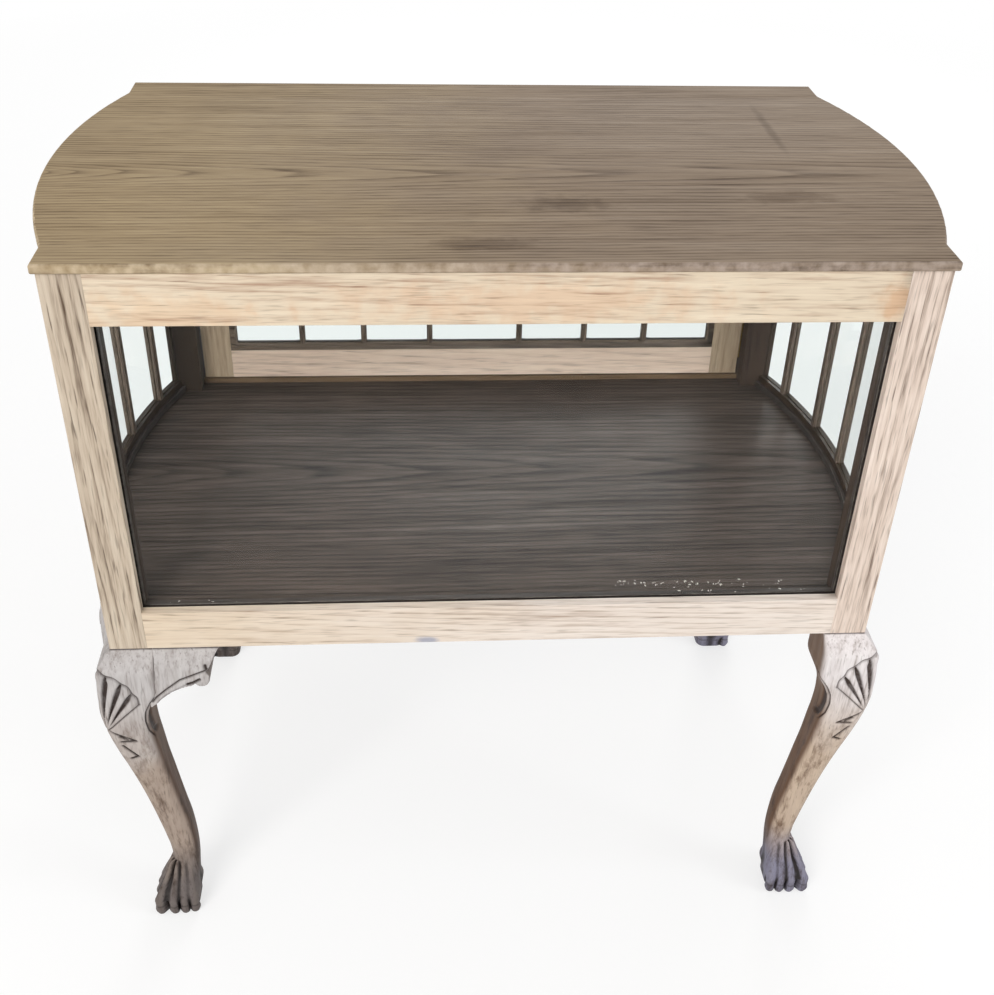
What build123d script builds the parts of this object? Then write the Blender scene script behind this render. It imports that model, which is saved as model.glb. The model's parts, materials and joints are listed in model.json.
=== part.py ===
from build123d import *
import math
import os

# Glazed side cabinet on cabriole legs, in millimetres.
# X runs along the long side, Y towards the door at the rear, Z up. The origin is on the floor,
# below the middle of the case.

# Driving sizes of the case
case_width = 906.0
case_depth = 575.0
case_height = 478.0
leg_height = 484.0
post_size = 43.5

# Top board: straight front and rear, a short straight ear at each corner, bowed ends
top_thickness = 11.0
top_overhang = 4.0
top_bow = 45.0
ear_length = 45.0
top_edge_radius = 2.5

# Rails between the posts
front_top_rail_height = 56.5
front_bottom_rail_height = 53.0
front_rail_thickness = 24.0
front_top_rail_proud = 1.5
rear_rail_thickness = 20.0
rear_bottom_rail_height = 51.0
end_rail_thickness = 14.0
end_bottom_rail_height = 62.0
end_bow = 47.0

# Mortise and tenon joints
tenon_thickness = 7.0
end_tenon_thickness = 5.0
tenon_length = 22.0
tenon_shoulder = 8.0
tenon_setback = 10.0
mortise_spare = 1.0

# Floor and the pieces that carry it
floor_level = 44.0
floor_thickness = 12.0
floor_gap = 0.3
batten_size = 15.0
floor_bead_width = 5.0
floor_bead_height = 9.0
floor_bead_seat = 1.5
floor_bead_gap = 0.3

# Blocks under the top board, and the places along X of the screws in the blocks and battens
top_block_size = 22.0
top_block_length = 60.0
fixing_xs = (-300.0, 0.0, 300.0)

# Front pane and its beads
glass_thickness = 4.0
rebate_depth = 8.0
front_glass_setback = 11.5
bead_depth = 8.0
bead_proud = 2.0
bead_height = 10.0
pane_edge_gap = 1.0
cutter_margin = 1.0

# Glazed ends
end_bar_pitch = 95.0
end_bars_each_side = 2
end_bar_width = 9.0
end_bar_depth = 13.0
end_pane_thickness = 3.0
end_pane_inset = 4.0
end_pane_end_gap = 1.0
end_pane_slot_gap = 0.2

# Door
door_gap = 3.0
door_thickness = 19.5
stile_width = 42.0
door_rail_height = 44.0
moulding_width = 10.0
moulding_depth = 8.0
moulding_setback = 1.0
moulding_bevel_share = 0.6
door_bar_places = (67.5, 166.0, 257.7)
door_bar_width = 8.5
door_bar_web = 3.0
door_bar_setback = 1.5
door_bar_bevel_share = 0.25
door_pane_thickness = 4.0
door_pane_gap = 0.4
bevel_width = 9.0
bevel_depth = 1.6
door_bead_depth = 5.0
bar_strip_depth = 4.0
door_stop_drop = 8.0
door_stop_gap = 0.5
door_stop_thickness = 5.5
door_stop_end_gap = 20.0
door_stop_top_gap = 30.0

# Butt hinges
hinge_height = 60.0
hinge_end_distance = 55.0
leaf_thickness = 1.2
leaf_depth = 17.0
knuckle_radius = 3.6
knuckle_setout = 4.5
pin_radius = 1.5
pin_running_gap = 0.05
knuckle_gap = 0.4
pin_head_radius = 2.6
pin_head_height = 1.5

# Screws
screw_head_radius = 2.6
screw_shank_radius = 1.3
screw_length = 14.0
hinge_screw_spread = 20.0
top_screw_length = 24.0
top_screw_radius = 1.8

# Lock and key
lock_height = 46.0
lock_width = 30.0
lock_depth = 11.0
lock_wall = 1.2
lock_face_thickness = 1.5
lock_cover = 4.0
key_inset = 14.5
bolt_thickness = 4.0
bolt_height = 10.0
bolt_offset = 4.5
bolt_throw = 6.5
bolt_gap = 0.1
bolt_end_gap = 1.0
talon_width = 24.0
talon_height = 4.2
key_shank_radius = 2.0
keyhole_radius = 2.6
key_bit_length = 8.0
key_bit_width = 1.8
key_bit_depth = 4.0
key_stick_out = 19.0
key_bow_radius = 8.0
key_bow_wire = 1.7
key_bow_overlap = 1.0
keyhole_slot_gap = 0.5
keyhole_end_gap = 0.8
escutcheon_width = 18.0
escutcheon_height = 32.0
escutcheon_thickness = 1.0
escutcheon_drop = 2.0
escutcheon_pin_radius = 0.8
escutcheon_pin_inset = 3.5
escutcheon_pin_depth = 3.0
escutcheon_pin_head = 0.4
strike_thickness = 1.5
strike_height = 40.0
strike_depth = 12.0
strike_clearance = 2.0

# Cabriole legs. A station is a rounded square: its height, how far its middle stands out past the
# post's middle along both X and Y, its half width and its corner radius as a share of that.
leg_block = 50.0
leg_stations = (
    (484.0, -3.2, 25.0, 0.06),
    (474.0, 1.2, 29.4, 0.08),
    (462.0, 5.2, 33.5, 0.12),
    (444.0, 6.4, 34.5, 0.18),
    (424.0, 7.7, 35.3, 0.26),
    (408.0, 12.0, 32.0, 0.36),
    (396.0, 14.2, 30.2, 0.42),
    (378.0, 14.4, 28.8, 0.46),
    (352.0, 12.6, 27.4, 0.50),
    (322.0, 9.0, 26.0, 0.54),
    (290.0, 4.8, 24.0, 0.58),
    (256.0, 0.1, 22.6, 0.62),
    (222.0, -4.2, 21.5, 0.66),
    (188.0, -8.3, 20.8, 0.70),
    (156.0, -12.0, 20.5, 0.74),
    (126.0, -14.6, 19.6, 0.80),
    (98.0, -16.2, 18.4, 0.84),
    (78.0, -15.8, 18.2, 0.86),
    (60.0, -12.0, 20.4, 0.80),
    (42.0, -7.4, 23.8, 0.72),
    (22.0, -4.6, 26.2, 0.60),
    (0.0, -4.6, 25.6, 0.60),
)
dowel_radius = 6.0
dowel_reach = 30.0

# Paw feet: each toe runs from the ankle down to a knuckle and ends in a rounded tip on the floor. The
# distances are from the post's middle, along the foot's front and outwards. The first toe is the corner's.
toe_places = (
    # along at the ankle, outwards at the ankle, along at the tip, outwards at the tip
    (-3.0, -3.0, 22.0, 22.0),
    (-7.0, -1.5, 3.0, 22.5),
    (-13.0, -3.0, -11.5, 22.0),
    (-22.0, -6.0, -24.5, 20.0),
)
toe_ankle_height = 64.0
toe_ankle_radius = 5.0
toe_knuckle_height = 24.0
toe_radius = 7.5

# Wing brackets, drawn as distances from the leg's block and below the case
wing_length = 77.0
wing_thickness = 26.0
wing_end_drop = 19.4
wing_end_inset = 11.5
wing_end_hollow = 6.6
wing_sweep = 25.0
wing_scroll_place = (54.0, 37.0)
wing_scroll_radius = 9.8
wing_edge_points = ((43.0, 45.6), (22.0, 52.8), (0.0, 70.0))
wing_heel = (-9.0, 77.0)
wing_flare = ((0.0, 0.0), (10.0, 7.0), (22.0, 13.0), (42.0, 17.0), (78.0, 20.6))
wing_joint_gap = 0.3

# Derived sizes
half_width = case_width / 2
half_depth = case_depth / 2
case_bottom = leg_height
case_top = leg_height + case_height
post_inner_x = half_width - post_size
post_inner_y = half_depth - post_size
post_middle_x = half_width - post_size / 2
post_middle_y = half_depth - post_size / 2
floor_top = case_bottom + floor_level
front_rail_back = -half_depth + front_rail_thickness
rear_rail_face = half_depth - rear_rail_thickness
top_rail_bottom = case_top - front_top_rail_height


# Helpers that stand for plain ways of placing stock


def block(x0, x1, y0, y1, z0, z1):
    """A square-edged piece between the given limits."""
    middle = Pos((x0 + x1) / 2, (y0 + y1) / 2, (z0 + z1) / 2)
    return middle * Box(x1 - x0, y1 - y0, z1 - z0)


def rod(start, end, radius):
    """A round rod from one point to another."""
    run = Vector(*end) - Vector(*start)
    middle = Vector(*start) + run * 0.5
    return Plane(origin=middle, z_dir=run) * Cylinder(radius, run.length)


def bow_radius(half_chord, rise):
    """Radius of the arc that rises by that much over the chord."""
    return (half_chord ** 2 + rise ** 2) / (2 * rise)


def to_corner(shape, side_x, side_y):
    """Take a piece made for the rear right corner to another corner by mirroring."""
    if side_x < 0:
        shape = mirror(shape, Plane.YZ)
    if side_y < 0:
        shape = mirror(shape, Plane.XZ)
    return shape


def save(name, *solids):
    """Write one sub-part, whose solids stay separate."""
    flat = []
    for item in solids:
        flat.extend(item.solids())
    shape = flat[0] if len(flat) == 1 else Compound(children=flat)
    shape.label = name
    export_step(shape, "parts/" + name + ".step")


# The bowed ends share one arc centre on each side, reached from the chord between the posts
end_radius = bow_radius(post_inner_y, end_bow)
end_centre_x = half_width + end_bow - end_radius


def bow_x(radius, y):
    """X of an arc of the right end at a given Y."""
    return end_centre_x + math.sqrt(radius ** 2 - y ** 2)


def bow_strip(inner, outer, reach, z0, z1):
    """A strip that follows the right end between two radii, out to plus and minus reach in Y."""
    outline = Polyline((bow_x(inner, -reach), -reach), (bow_x(outer, -reach), -reach))
    outline += ThreePointArc(
        (bow_x(outer, -reach), -reach), (end_centre_x + outer, 0), (bow_x(outer, reach), reach)
    )
    outline += Polyline((bow_x(outer, reach), reach), (bow_x(inner, reach), reach))
    outline += ThreePointArc(
        (bow_x(inner, reach), reach), (end_centre_x + inner, 0), (bow_x(inner, -reach), -reach)
    )
    return Pos(0, 0, z0) * extrude(make_face(outline), z1 - z0)


# Top board


def top_board():
    front = half_depth + top_overhang
    side = half_width + top_overhang
    reach = front - ear_length
    outline = Polyline((-side, -reach), (-side, -front), (side, -front), (side, -reach))
    outline += ThreePointArc((side, -reach), (side + top_bow, 0), (side, reach))
    outline += Polyline((side, reach), (side, front), (-side, front), (-side, reach))
    outline += ThreePointArc((-side, reach), (-side - top_bow, 0), (-side, -reach))
    board = Pos(0, 0, case_top) * extrude(make_face(outline), top_thickness)
    rims = board.edges().filter_by(lambda edge: edge.bounding_box().size.Z < 1e-3)
    return fillet(rims, top_edge_radius)


# Rails, with tenons that enter the posts


def rail(y0, y1, z0, z1, tenon_y):
    """A straight rail between the left and right posts."""
    piece = block(-post_inner_x, post_inner_x, y0, y1, z0, z1)
    return piece + rail_tenons(z0, z1, tenon_y, 0)


def rail_tenons(z0, z1, tenon_y, spare):
    """The two tenons of a straight rail. A mortise is the same shape with some spare depth."""
    reach = post_inner_x + tenon_length + spare
    low = z0 + tenon_shoulder
    high = z1 - tenon_shoulder
    near = tenon_y - tenon_thickness / 2
    far = tenon_y + tenon_thickness / 2
    left = block(-reach, -post_inner_x, near, far, low, high)
    right = block(post_inner_x, reach, near, far, low, high)
    return left + right


def end_tenons(z0, z1, spare):
    """The two tenons of a curved rail at the right end."""
    reach = post_inner_y + tenon_length + spare
    middle = bow_x(end_radius - end_rail_thickness / 2, post_inner_y)
    near = middle - end_tenon_thickness / 2
    far = middle + end_tenon_thickness / 2
    low = z0 + tenon_shoulder
    high = z1 - tenon_shoulder
    front = block(near, far, -reach, -post_inner_y, low, high)
    rear = block(near, far, post_inner_y, reach, low, high)
    return front + rear


front_tenon_y = -half_depth + tenon_setback
rear_tenon_y = half_depth - tenon_setback
front_glass_face = -half_depth + front_glass_setback
front_glass_back = front_glass_face + glass_thickness
bead_back = front_glass_back + bead_depth
pane_low = floor_top
pane_high = top_rail_bottom + rebate_depth
end_glass_low = case_bottom + end_bottom_rail_height
rear_bottom_top = case_bottom + rear_bottom_rail_height

rail_places = {
    "front_top_rail": (front_tenon_y, top_rail_bottom, case_top),
    "front_bottom_rail": (front_tenon_y, case_bottom, case_bottom + front_bottom_rail_height),
    "rear_top_rail": (rear_tenon_y, top_rail_bottom, case_top),
    "rear_bottom_rail": (rear_tenon_y, case_bottom, rear_bottom_top),
}
end_rail_places = {
    "end_top_rail": (top_rail_bottom, case_top),
    "end_bottom_rail": (case_bottom, end_glass_low),
}


def front_top_rail():
    tenon_y, low, high = rail_places["front_top_rail"]
    proud = -half_depth - front_top_rail_proud
    piece = rail(proud, front_rail_back, low, high, tenon_y)
    rebate = block(-half_width, half_width, front_glass_face, bead_back, low - cutter_margin, pane_high)
    return piece - rebate


def front_bottom_rail():
    tenon_y, low, high = rail_places["front_bottom_rail"]
    piece = rail(-half_depth, front_rail_back, low, high, tenon_y)
    rebate = block(
        -half_width, half_width, front_glass_face, front_rail_back + cutter_margin,
        pane_low, high + cutter_margin,
    )
    return piece - rebate


def rear_rail(name):
    tenon_y, low, high = rail_places[name]
    return rail(rear_rail_face, half_depth, low, high, tenon_y)


def end_rail(name):
    low, high = end_rail_places[name]
    strip = bow_strip(end_radius - end_rail_thickness, end_radius, post_inner_y, low, high)
    return strip + end_tenons(low, high, 0) - end_pane_slots()


# Corner posts


def post(front):
    """The post at the rear right or, if front, its mirror image at the front right."""
    y0, y1 = (-half_depth, -post_inner_y) if front else (post_inner_y, half_depth)
    piece = block(post_inner_x, half_width, y0, y1, case_bottom, case_top)
    for name, (tenon_y, low, high) in rail_places.items():
        if name.startswith("front") == front:
            piece -= rail_tenons(low, high, tenon_y, mortise_spare)
    for low, high in end_rail_places.values():
        piece -= end_tenons(low, high, mortise_spare)
    side_y = -1 if front else 1
    piece -= rod(
        (post_middle_x, side_y * post_middle_y, case_bottom),
        (post_middle_x, side_y * post_middle_y, case_bottom + dowel_reach + mortise_spare),
        dowel_radius,
    )
    piece -= end_pane_slots()
    if front:
        groove = post_inner_x + rebate_depth
        piece -= block(post_inner_x, groove, front_glass_face, bead_back, pane_low, pane_high)
    return piece


# Front pane and the beads that hold it


def front_pane():
    side = post_inner_x + rebate_depth - pane_edge_gap
    high = pane_high - pane_edge_gap
    return block(-side, side, front_glass_face, front_glass_back, pane_low, high)


def front_pane_beads():
    side = post_inner_x + rebate_depth
    inner = post_inner_x - bead_proud
    low = pane_low + bead_height
    high = pane_high - bead_height
    y0, y1 = front_glass_back, bead_back
    bottom = block(-side, side, y0, y1, pane_low, low)
    top = block(-side, side, y0, y1, high, pane_high)
    left = block(-side, -inner, y0, y1, low, high)
    right = block(inner, side, y0, y1, low, high)
    return bottom, top, left, right


# Glazed ends: upright bars on the bow, with a flat strip of glass between each two


def end_bar_ys():
    return [end_bar_pitch * step for step in range(-end_bars_each_side, end_bars_each_side + 1)]


def end_glass_point(y):
    """The point of the glass line at that Y, in the middle of the end's thickness."""
    return bow_x(end_radius - end_rail_thickness / 2, y), y


def end_pane(y0, y1, thickness, z0, z1):
    """A flat strip of glass between two points of the glass line."""
    ax, ay = end_glass_point(y0)
    bx, by = end_glass_point(y1)
    length = math.hypot(bx - ax, by - ay)
    turn = math.degrees(math.atan2(by - ay, bx - ax))
    place = Pos((ax + bx) / 2, (ay + by) / 2, (z0 + z1) / 2) * Rot(0, 0, turn)
    return place * Box(length, thickness, z1 - z0)


def end_pane_spans():
    """Start and end of each strip along Y. Strips stop inside the bars' and posts' grooves."""
    stops = [-post_inner_y - end_pane_inset] + end_bar_ys() + [post_inner_y + end_pane_inset]
    spans = []
    for start, stop in zip(stops, stops[1:]):
        first = start if start == stops[0] else start + end_pane_end_gap
        last = stop if stop == stops[-1] else stop - end_pane_end_gap
        spans.append((first, last))
    return spans


def end_panes():
    low = end_glass_low - end_pane_inset
    high = top_rail_bottom + end_pane_inset
    return [end_pane(y0, y1, end_pane_thickness, low, high) for y0, y1 in end_pane_spans()]


def end_pane_slots():
    """The grooves that the strips of glass sit in, cut from bars, rails and posts."""
    thickness = end_pane_thickness + 2 * end_pane_slot_gap
    low = end_glass_low - end_pane_inset - end_pane_slot_gap
    high = top_rail_bottom + end_pane_inset + end_pane_slot_gap
    slots = Part()
    for y0, y1 in end_pane_spans():
        slots += end_pane(y0 - end_pane_slot_gap, y1 + end_pane_slot_gap, thickness, low, high)
    return slots


def end_bars():
    bars = []
    slots = end_pane_slots()
    middle_radius = end_radius - end_rail_thickness / 2
    for y in end_bar_ys():
        turn = math.degrees(math.asin(y / middle_radius))
        place = Pos(*end_glass_point(y), (end_glass_low + top_rail_bottom) / 2) * Rot(0, 0, turn)
        bar = place * Box(end_bar_depth, end_bar_width, top_rail_bottom - end_glass_low)
        bars.append(bar - slots)
    return bars


def floor_bead():
    inner = end_radius - end_rail_thickness
    strip = bow_strip(
        inner - floor_bead_width + floor_bead_gap, inner - floor_gap, post_inner_y,
        floor_top - floor_bead_seat, floor_top + floor_bead_height,
    )
    upper = strip.edges().group_by(Axis.Z)[-1].sort_by(Axis.X)[0:1]
    return chamfer(upper, floor_bead_width / 2)


# Interior floor, its battens and screws


def floor_board():
    inner = end_radius - end_rail_thickness - floor_gap
    low = floor_top - floor_thickness
    edge = bow_x(inner, post_inner_y)
    outline = Polyline(
        (-edge, -post_inner_y), (-post_inner_x, -post_inner_y), (-post_inner_x, front_rail_back),
        (post_inner_x, front_rail_back), (post_inner_x, -post_inner_y), (edge, -post_inner_y),
    )
    outline += ThreePointArc((edge, -post_inner_y), (end_centre_x + inner, 0), (edge, post_inner_y))
    outline += Polyline(
        (edge, post_inner_y), (post_inner_x, post_inner_y), (post_inner_x, rear_rail_face),
        (-post_inner_x, rear_rail_face), (-post_inner_x, post_inner_y), (-edge, post_inner_y),
    )
    outline += ThreePointArc((-edge, post_inner_y), (-end_centre_x - inner, 0), (-edge, -post_inner_y))
    board = Pos(0, 0, low) * extrude(make_face(outline), floor_thickness)
    seat = bow_strip(
        end_radius - end_rail_thickness - floor_bead_width, end_radius, post_inner_y,
        floor_top - floor_bead_seat, floor_top + cutter_margin,
    )
    board = board - seat - to_corner(seat, -1, 1)
    for x, y in batten_screw_places():
        board -= batten_screw(x, y)
    return board


def batten_screw_places():
    rows = (front_rail_back + batten_size / 2, rear_rail_face - batten_size / 2)
    return [(x, y) for y in rows for x in fixing_xs]


def batten_screw(x, y):
    """A round-shank wood screw driven up through a batten into the floor."""
    low = floor_top - floor_thickness - batten_size
    return rod((x, y, low), (x, y, low + batten_size + floor_thickness / 2), top_screw_radius)


def floor_battens():
    high = floor_top - floor_thickness
    low = high - batten_size
    side = post_inner_x
    front = block(-side, side, front_rail_back, front_rail_back + batten_size, low, high)
    rear = block(-side, side, rear_rail_face - batten_size, rear_rail_face, low, high)
    for x, y in batten_screw_places():
        front -= batten_screw(x, y)
        rear -= batten_screw(x, y)
    return front, rear


# Blocks and screws that hold the top board down to the rails


def top_block_rows():
    return (front_rail_back + top_block_size / 2, rear_rail_face - top_block_size / 2)


def top_screw(x, y):
    high = case_top + top_thickness / 2
    return rod((x, y, high - top_screw_length), (x, y, high), top_screw_radius)


def top_blocks():
    blocks = []
    half = top_block_size / 2
    for y in top_block_rows():
        for x in fixing_xs:
            piece = block(
                x - top_block_length / 2, x + top_block_length / 2, y - half, y + half,
                case_top - top_block_size, case_top,
            )
            blocks.append(piece - top_screw(x, y))
    return blocks


def top_screws():
    return [top_screw(x, y) for y in top_block_rows() for x in fixing_xs]


# Cabriole legs with paw feet


def leg_section(station):
    z, out, half, corner = station
    place = Pos(post_middle_x + out, post_middle_y + out, z)
    return (place * RectangleRounded(2 * half, 2 * half, corner * half)).face()


def toe(ankle_x, ankle_y, tip_x, tip_y):
    """One toe: an upright length with round ends, and a ridge that runs up from it to the ankle."""
    tip = Vector(post_middle_x + tip_x, post_middle_y + tip_y, toe_radius)
    knuckle = Vector(tip.X, tip.Y, toe_knuckle_height)
    ankle = Vector(post_middle_x + ankle_x, post_middle_y + ankle_y, toe_ankle_height)
    shape = Pos(tip) * Sphere(toe_radius)
    shape += Pos(knuckle) * Sphere(toe_radius)
    shape += rod(tip, knuckle, toe_radius)
    run = ankle - knuckle
    ridge = Plane(origin=knuckle + run * 0.5, z_dir=run)
    shape += ridge * Cone(toe_radius, toe_ankle_radius, run.length)
    shape += Pos(ankle) * Sphere(toe_ankle_radius)
    return shape


def leg():
    """The leg of the rear right corner."""
    shape = loft([leg_section(station) for station in leg_stations])
    for ankle_x, ankle_y, tip_x, tip_y in toe_places:
        shape += toe(ankle_x, ankle_y, tip_x, tip_y)
        if tip_x != tip_y:
            shape += toe(ankle_y, ankle_x, tip_y, tip_x)
    return shape - leg_dowel(mortise_spare)


def leg_dowel(spare):
    low = (post_middle_x, post_middle_y, case_bottom - dowel_reach - spare)
    high = (post_middle_x, post_middle_y, case_bottom + dowel_reach)
    return rod(low, high, dowel_radius)


# Wing brackets under the rails, beside each knee


def wing_outline():
    """The bracket seen square on: u runs away from the leg, v down from the case."""
    tip = (wing_length - wing_end_inset, -wing_end_drop)
    last_u, last_v = wing_edge_points[0]
    middle_u, middle_v = wing_edge_points[1]
    joint_u, joint_v = wing_edge_points[2]
    scroll_u, scroll_v = wing_scroll_place
    outline = Polyline((0, 0), (wing_length, 0))
    hollow = (wing_length - wing_end_hollow, -wing_end_drop / 2)
    outline += ThreePointArc((wing_length, 0), hollow, tip)
    outline += Polyline(tip, (scroll_u, -scroll_v), (last_u, -last_v))
    outline += ThreePointArc((last_u, -last_v), (middle_u, -middle_v), (joint_u, -joint_v))
    heel_u, heel_v = wing_heel
    outline += Polyline((joint_u, -joint_v), (heel_u, -heel_v), (heel_u, 0), (0, 0))
    return make_face(outline) + Pos(scroll_u, -scroll_v) * Circle(wing_scroll_radius)


def flare_outline(inner):
    """The bracket seen from its end: how its face leans out, from inner to the flared face."""
    face = [(spread, -drop) for drop, spread in wing_flare]
    deepest = wing_flare[-1][0]
    return make_face(Polyline([(-inner, 0), *face, (-inner, -deepest), (-inner, 0)]))


wing_start_x = half_width - leg_block - wing_joint_gap
wing_start_y = half_depth - leg_block - wing_joint_gap


def straight_wing():
    """The bracket under the rear rail at the right, beside the leg."""
    seen = Plane(origin=(wing_start_x, 0, case_bottom), x_dir=(-1, 0, 0), z_dir=(0, 1, 0))
    plate = extrude(seen * wing_outline(), 2 * half_depth)
    lean = Plane(origin=(0, half_depth, case_bottom), x_dir=(0, 1, 0), z_dir=(1, 0, 0))
    slab = extrude(lean * flare_outline(wing_thickness), half_width)
    return plate & slab


def curved_wing():
    """The bracket under the right end's bowed rail, beside the rear leg."""
    seen = Plane(origin=(case_width, wing_start_y, case_bottom), x_dir=(0, -1, 0), z_dir=(-1, 0, 0))
    plate = extrude(seen * wing_outline(), case_width)
    lean = Plane(origin=(end_centre_x, 0, case_bottom), x_dir=(1, 0, 0), z_dir=(0, -1, 0))
    profile = lean * Pos(end_radius, 0) * flare_outline(wing_thickness)
    ring = revolve(profile, Axis((end_centre_x, 0, 0), (0, 0, 1)), wing_sweep)
    return plate & ring


# Door: two stiles, two rails, moulding, bars, bevelled panes and beads

door_inner_y = half_depth - door_thickness
door_side = post_inner_x - door_gap
door_low = rear_bottom_top + door_gap
door_high = top_rail_bottom - door_gap
rail_end_x = door_side - stile_width
light_low = door_low + door_rail_height
light_high = door_high - door_rail_height
sight_x = rail_end_x - moulding_width
sight_low = light_low + moulding_width
sight_high = light_high - moulding_width
pane_front = door_inner_y + moulding_depth
pane_back = pane_front + door_pane_thickness
door_middle_z = (door_low + door_high) / 2
door_tenon_y = (door_inner_y + half_depth) / 2
hinge_x = post_inner_x - door_gap / 2
hinge_y = half_depth + knuckle_setout
hinge_middles = (door_low + hinge_end_distance, door_high - hinge_end_distance)
key_x = -door_side + key_inset
lock_y1 = half_depth - lock_cover
lock_y0 = lock_y1 - lock_depth


def door_stile(side):
    """A full-height upright of the door frame, with mortises for both rails."""
    x0, x1 = sorted((side * rail_end_x, side * door_side))
    piece = block(x0, x1, door_inner_y, half_depth, door_low, door_high)
    piece -= door_tenons(light_high, door_high, mortise_spare)
    return piece - door_tenons(door_low, light_low, mortise_spare)


def door_tenons(low, high, spare):
    reach = rail_end_x + tenon_length + spare
    y0 = door_tenon_y - tenon_thickness / 2
    y1 = door_tenon_y + tenon_thickness / 2
    z0 = low + tenon_shoulder
    z1 = high - tenon_shoulder
    return block(-reach, -rail_end_x, y0, y1, z0, z1) + block(rail_end_x, reach, y0, y1, z0, z1)


def door_rail(low, high):
    piece = block(-rail_end_x, rail_end_x, door_inner_y, half_depth, low, high)
    return piece + door_tenons(low, high, 0)


def door_moulding():
    """Four mitred strips inside the frame, bevelled towards the glass."""
    depth = moulding_depth - moulding_setback
    centre = Pos(0, door_inner_y + moulding_setback, door_middle_z)
    turned = centre * Rot(-90, 0, 0)
    outer = Rectangle(2 * rail_end_x, light_high - light_low)
    inner = Rectangle(2 * sight_x, sight_high - sight_low)
    ring = turned * extrude(outer - inner, depth)
    lips = ring.edges().filter_by(GeomType.LINE).group_by(Axis.Y)[0]
    reach_x = sight_x + moulding_width / 2
    reach_z = (sight_high - sight_low + moulding_width) / 2
    lips = [edge for edge in lips if abs(edge.center().X) < reach_x and edge.length < 2 * reach_x]
    lips = [edge for edge in lips if abs(edge.center().Z - door_middle_z) < reach_z]
    ring = chamfer(lips, moulding_width * moulding_bevel_share, depth * moulding_bevel_share)
    return mitred(ring, rail_end_x, (light_high - light_low) / 2)


def mitred(ring, half_x, half_z):
    """Cut a rectangular ring of strip into its four lengths at the corners."""
    inner_x = half_x - half_z
    top_wedge = make_face(
        Polyline((-half_x, half_z), (half_x, half_z), (inner_x, 0), (-inner_x, 0), (-half_x, half_z))
    )
    wedge = Pos(0, half_depth, door_middle_z) * Rot(90, 0, 0) * extrude(top_wedge, half_depth)
    low_wedge = mirror(wedge, Plane(origin=(0, 0, door_middle_z), z_dir=(0, 0, 1)))
    upper = ring & wedge
    lower = ring & low_wedge
    rest = ring - wedge - low_wedge
    return upper, lower, rest


def door_glass_beads():
    """Four strips behind the panes, flush with the frame's outer face but for a small step."""
    centre = Pos(0, pane_back, door_middle_z) * Rot(-90, 0, 0)
    outer = Rectangle(2 * rail_end_x, light_high - light_low)
    inner = Rectangle(2 * sight_x, sight_high - sight_low)
    ring = centre * extrude(outer - inner, door_bead_depth)
    return mitred(ring, rail_end_x, (light_high - light_low) / 2)


def door_bar_xs():
    return sorted([-x for x in door_bar_places] + list(door_bar_places))


def door_bars():
    """Upright bars with a flange on the inside and a thin web between neighbouring panes."""
    bars = []
    for x in door_bar_xs():
        flange = block(
            x - door_bar_width / 2, x + door_bar_width / 2, door_inner_y + door_bar_setback, pane_front,
            sight_low, sight_high,
        )
        inner_edges = flange.edges().filter_by(Axis.Z).group_by(Axis.Y)[0]
        flange = chamfer(inner_edges, door_bar_width * door_bar_bevel_share)
        half_web = door_bar_web / 2
        web = block(x - half_web, x + half_web, pane_front, pane_back, sight_low, sight_high)
        bars.append(flange + web)
    return bars


def door_bar_strips():
    strips = []
    for x in door_bar_xs():
        half = door_bar_width / 2
        strip = block(x - half, x + half, pane_back, pane_back + bar_strip_depth, sight_low, sight_high)
        outer_edges = strip.edges().filter_by(Axis.Z).group_by(Axis.Y)[-1]
        strips.append(chamfer(outer_edges, door_bar_width * door_bar_bevel_share))
    return strips


def door_panes():
    """Flat panes, each with a wide bevel round its inner face."""
    panes = []
    stops = [-rail_end_x] + door_bar_xs() + [rail_end_x]
    half_web = door_bar_web / 2 + door_pane_gap
    half_bar = door_bar_width / 2
    for index, start in enumerate(stops[:-1]):
        first = index == 0
        last = index == len(stops) - 2
        x0 = start + (door_pane_gap if first else half_web)
        x1 = stops[index + 1] - (door_pane_gap if last else half_web)
        seen_x0 = -sight_x if first else start + half_bar
        seen_x1 = sight_x if last else stops[index + 1] - half_bar
        low = light_low + door_pane_gap
        high = light_high - door_pane_gap
        bevel_base = pane_front + bevel_depth
        pane = block(x0, x1, bevel_base, pane_back, low, high)
        raised = loft([
            pane_face(x0, x1, bevel_base, low, high),
            pane_face(
                seen_x0 + bevel_width, seen_x1 - bevel_width, pane_front,
                sight_low + bevel_width, sight_high - bevel_width,
            ),
        ], ruled=True)
        panes.append(pane + raised)
    return panes


def pane_face(x0, x1, y, z0, z1):
    """An upright rectangle at the given depth."""
    middle = Plane(origin=((x0 + x1) / 2, y, (z0 + z1) / 2), x_dir=(1, 0, 0), z_dir=(0, -1, 0))
    return (middle * Rectangle(x1 - x0, z1 - z0)).face()


# Butt hinges on the right edge of the door


def knuckle_spans(middle):
    """Heights of the three knuckles: the middle one belongs to the door."""
    third = hinge_height / 3
    low = middle - hinge_height / 2 + knuckle_gap / 2
    return [(low + third * place, low + third * (place + 1) - knuckle_gap) for place in range(3)]


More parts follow.
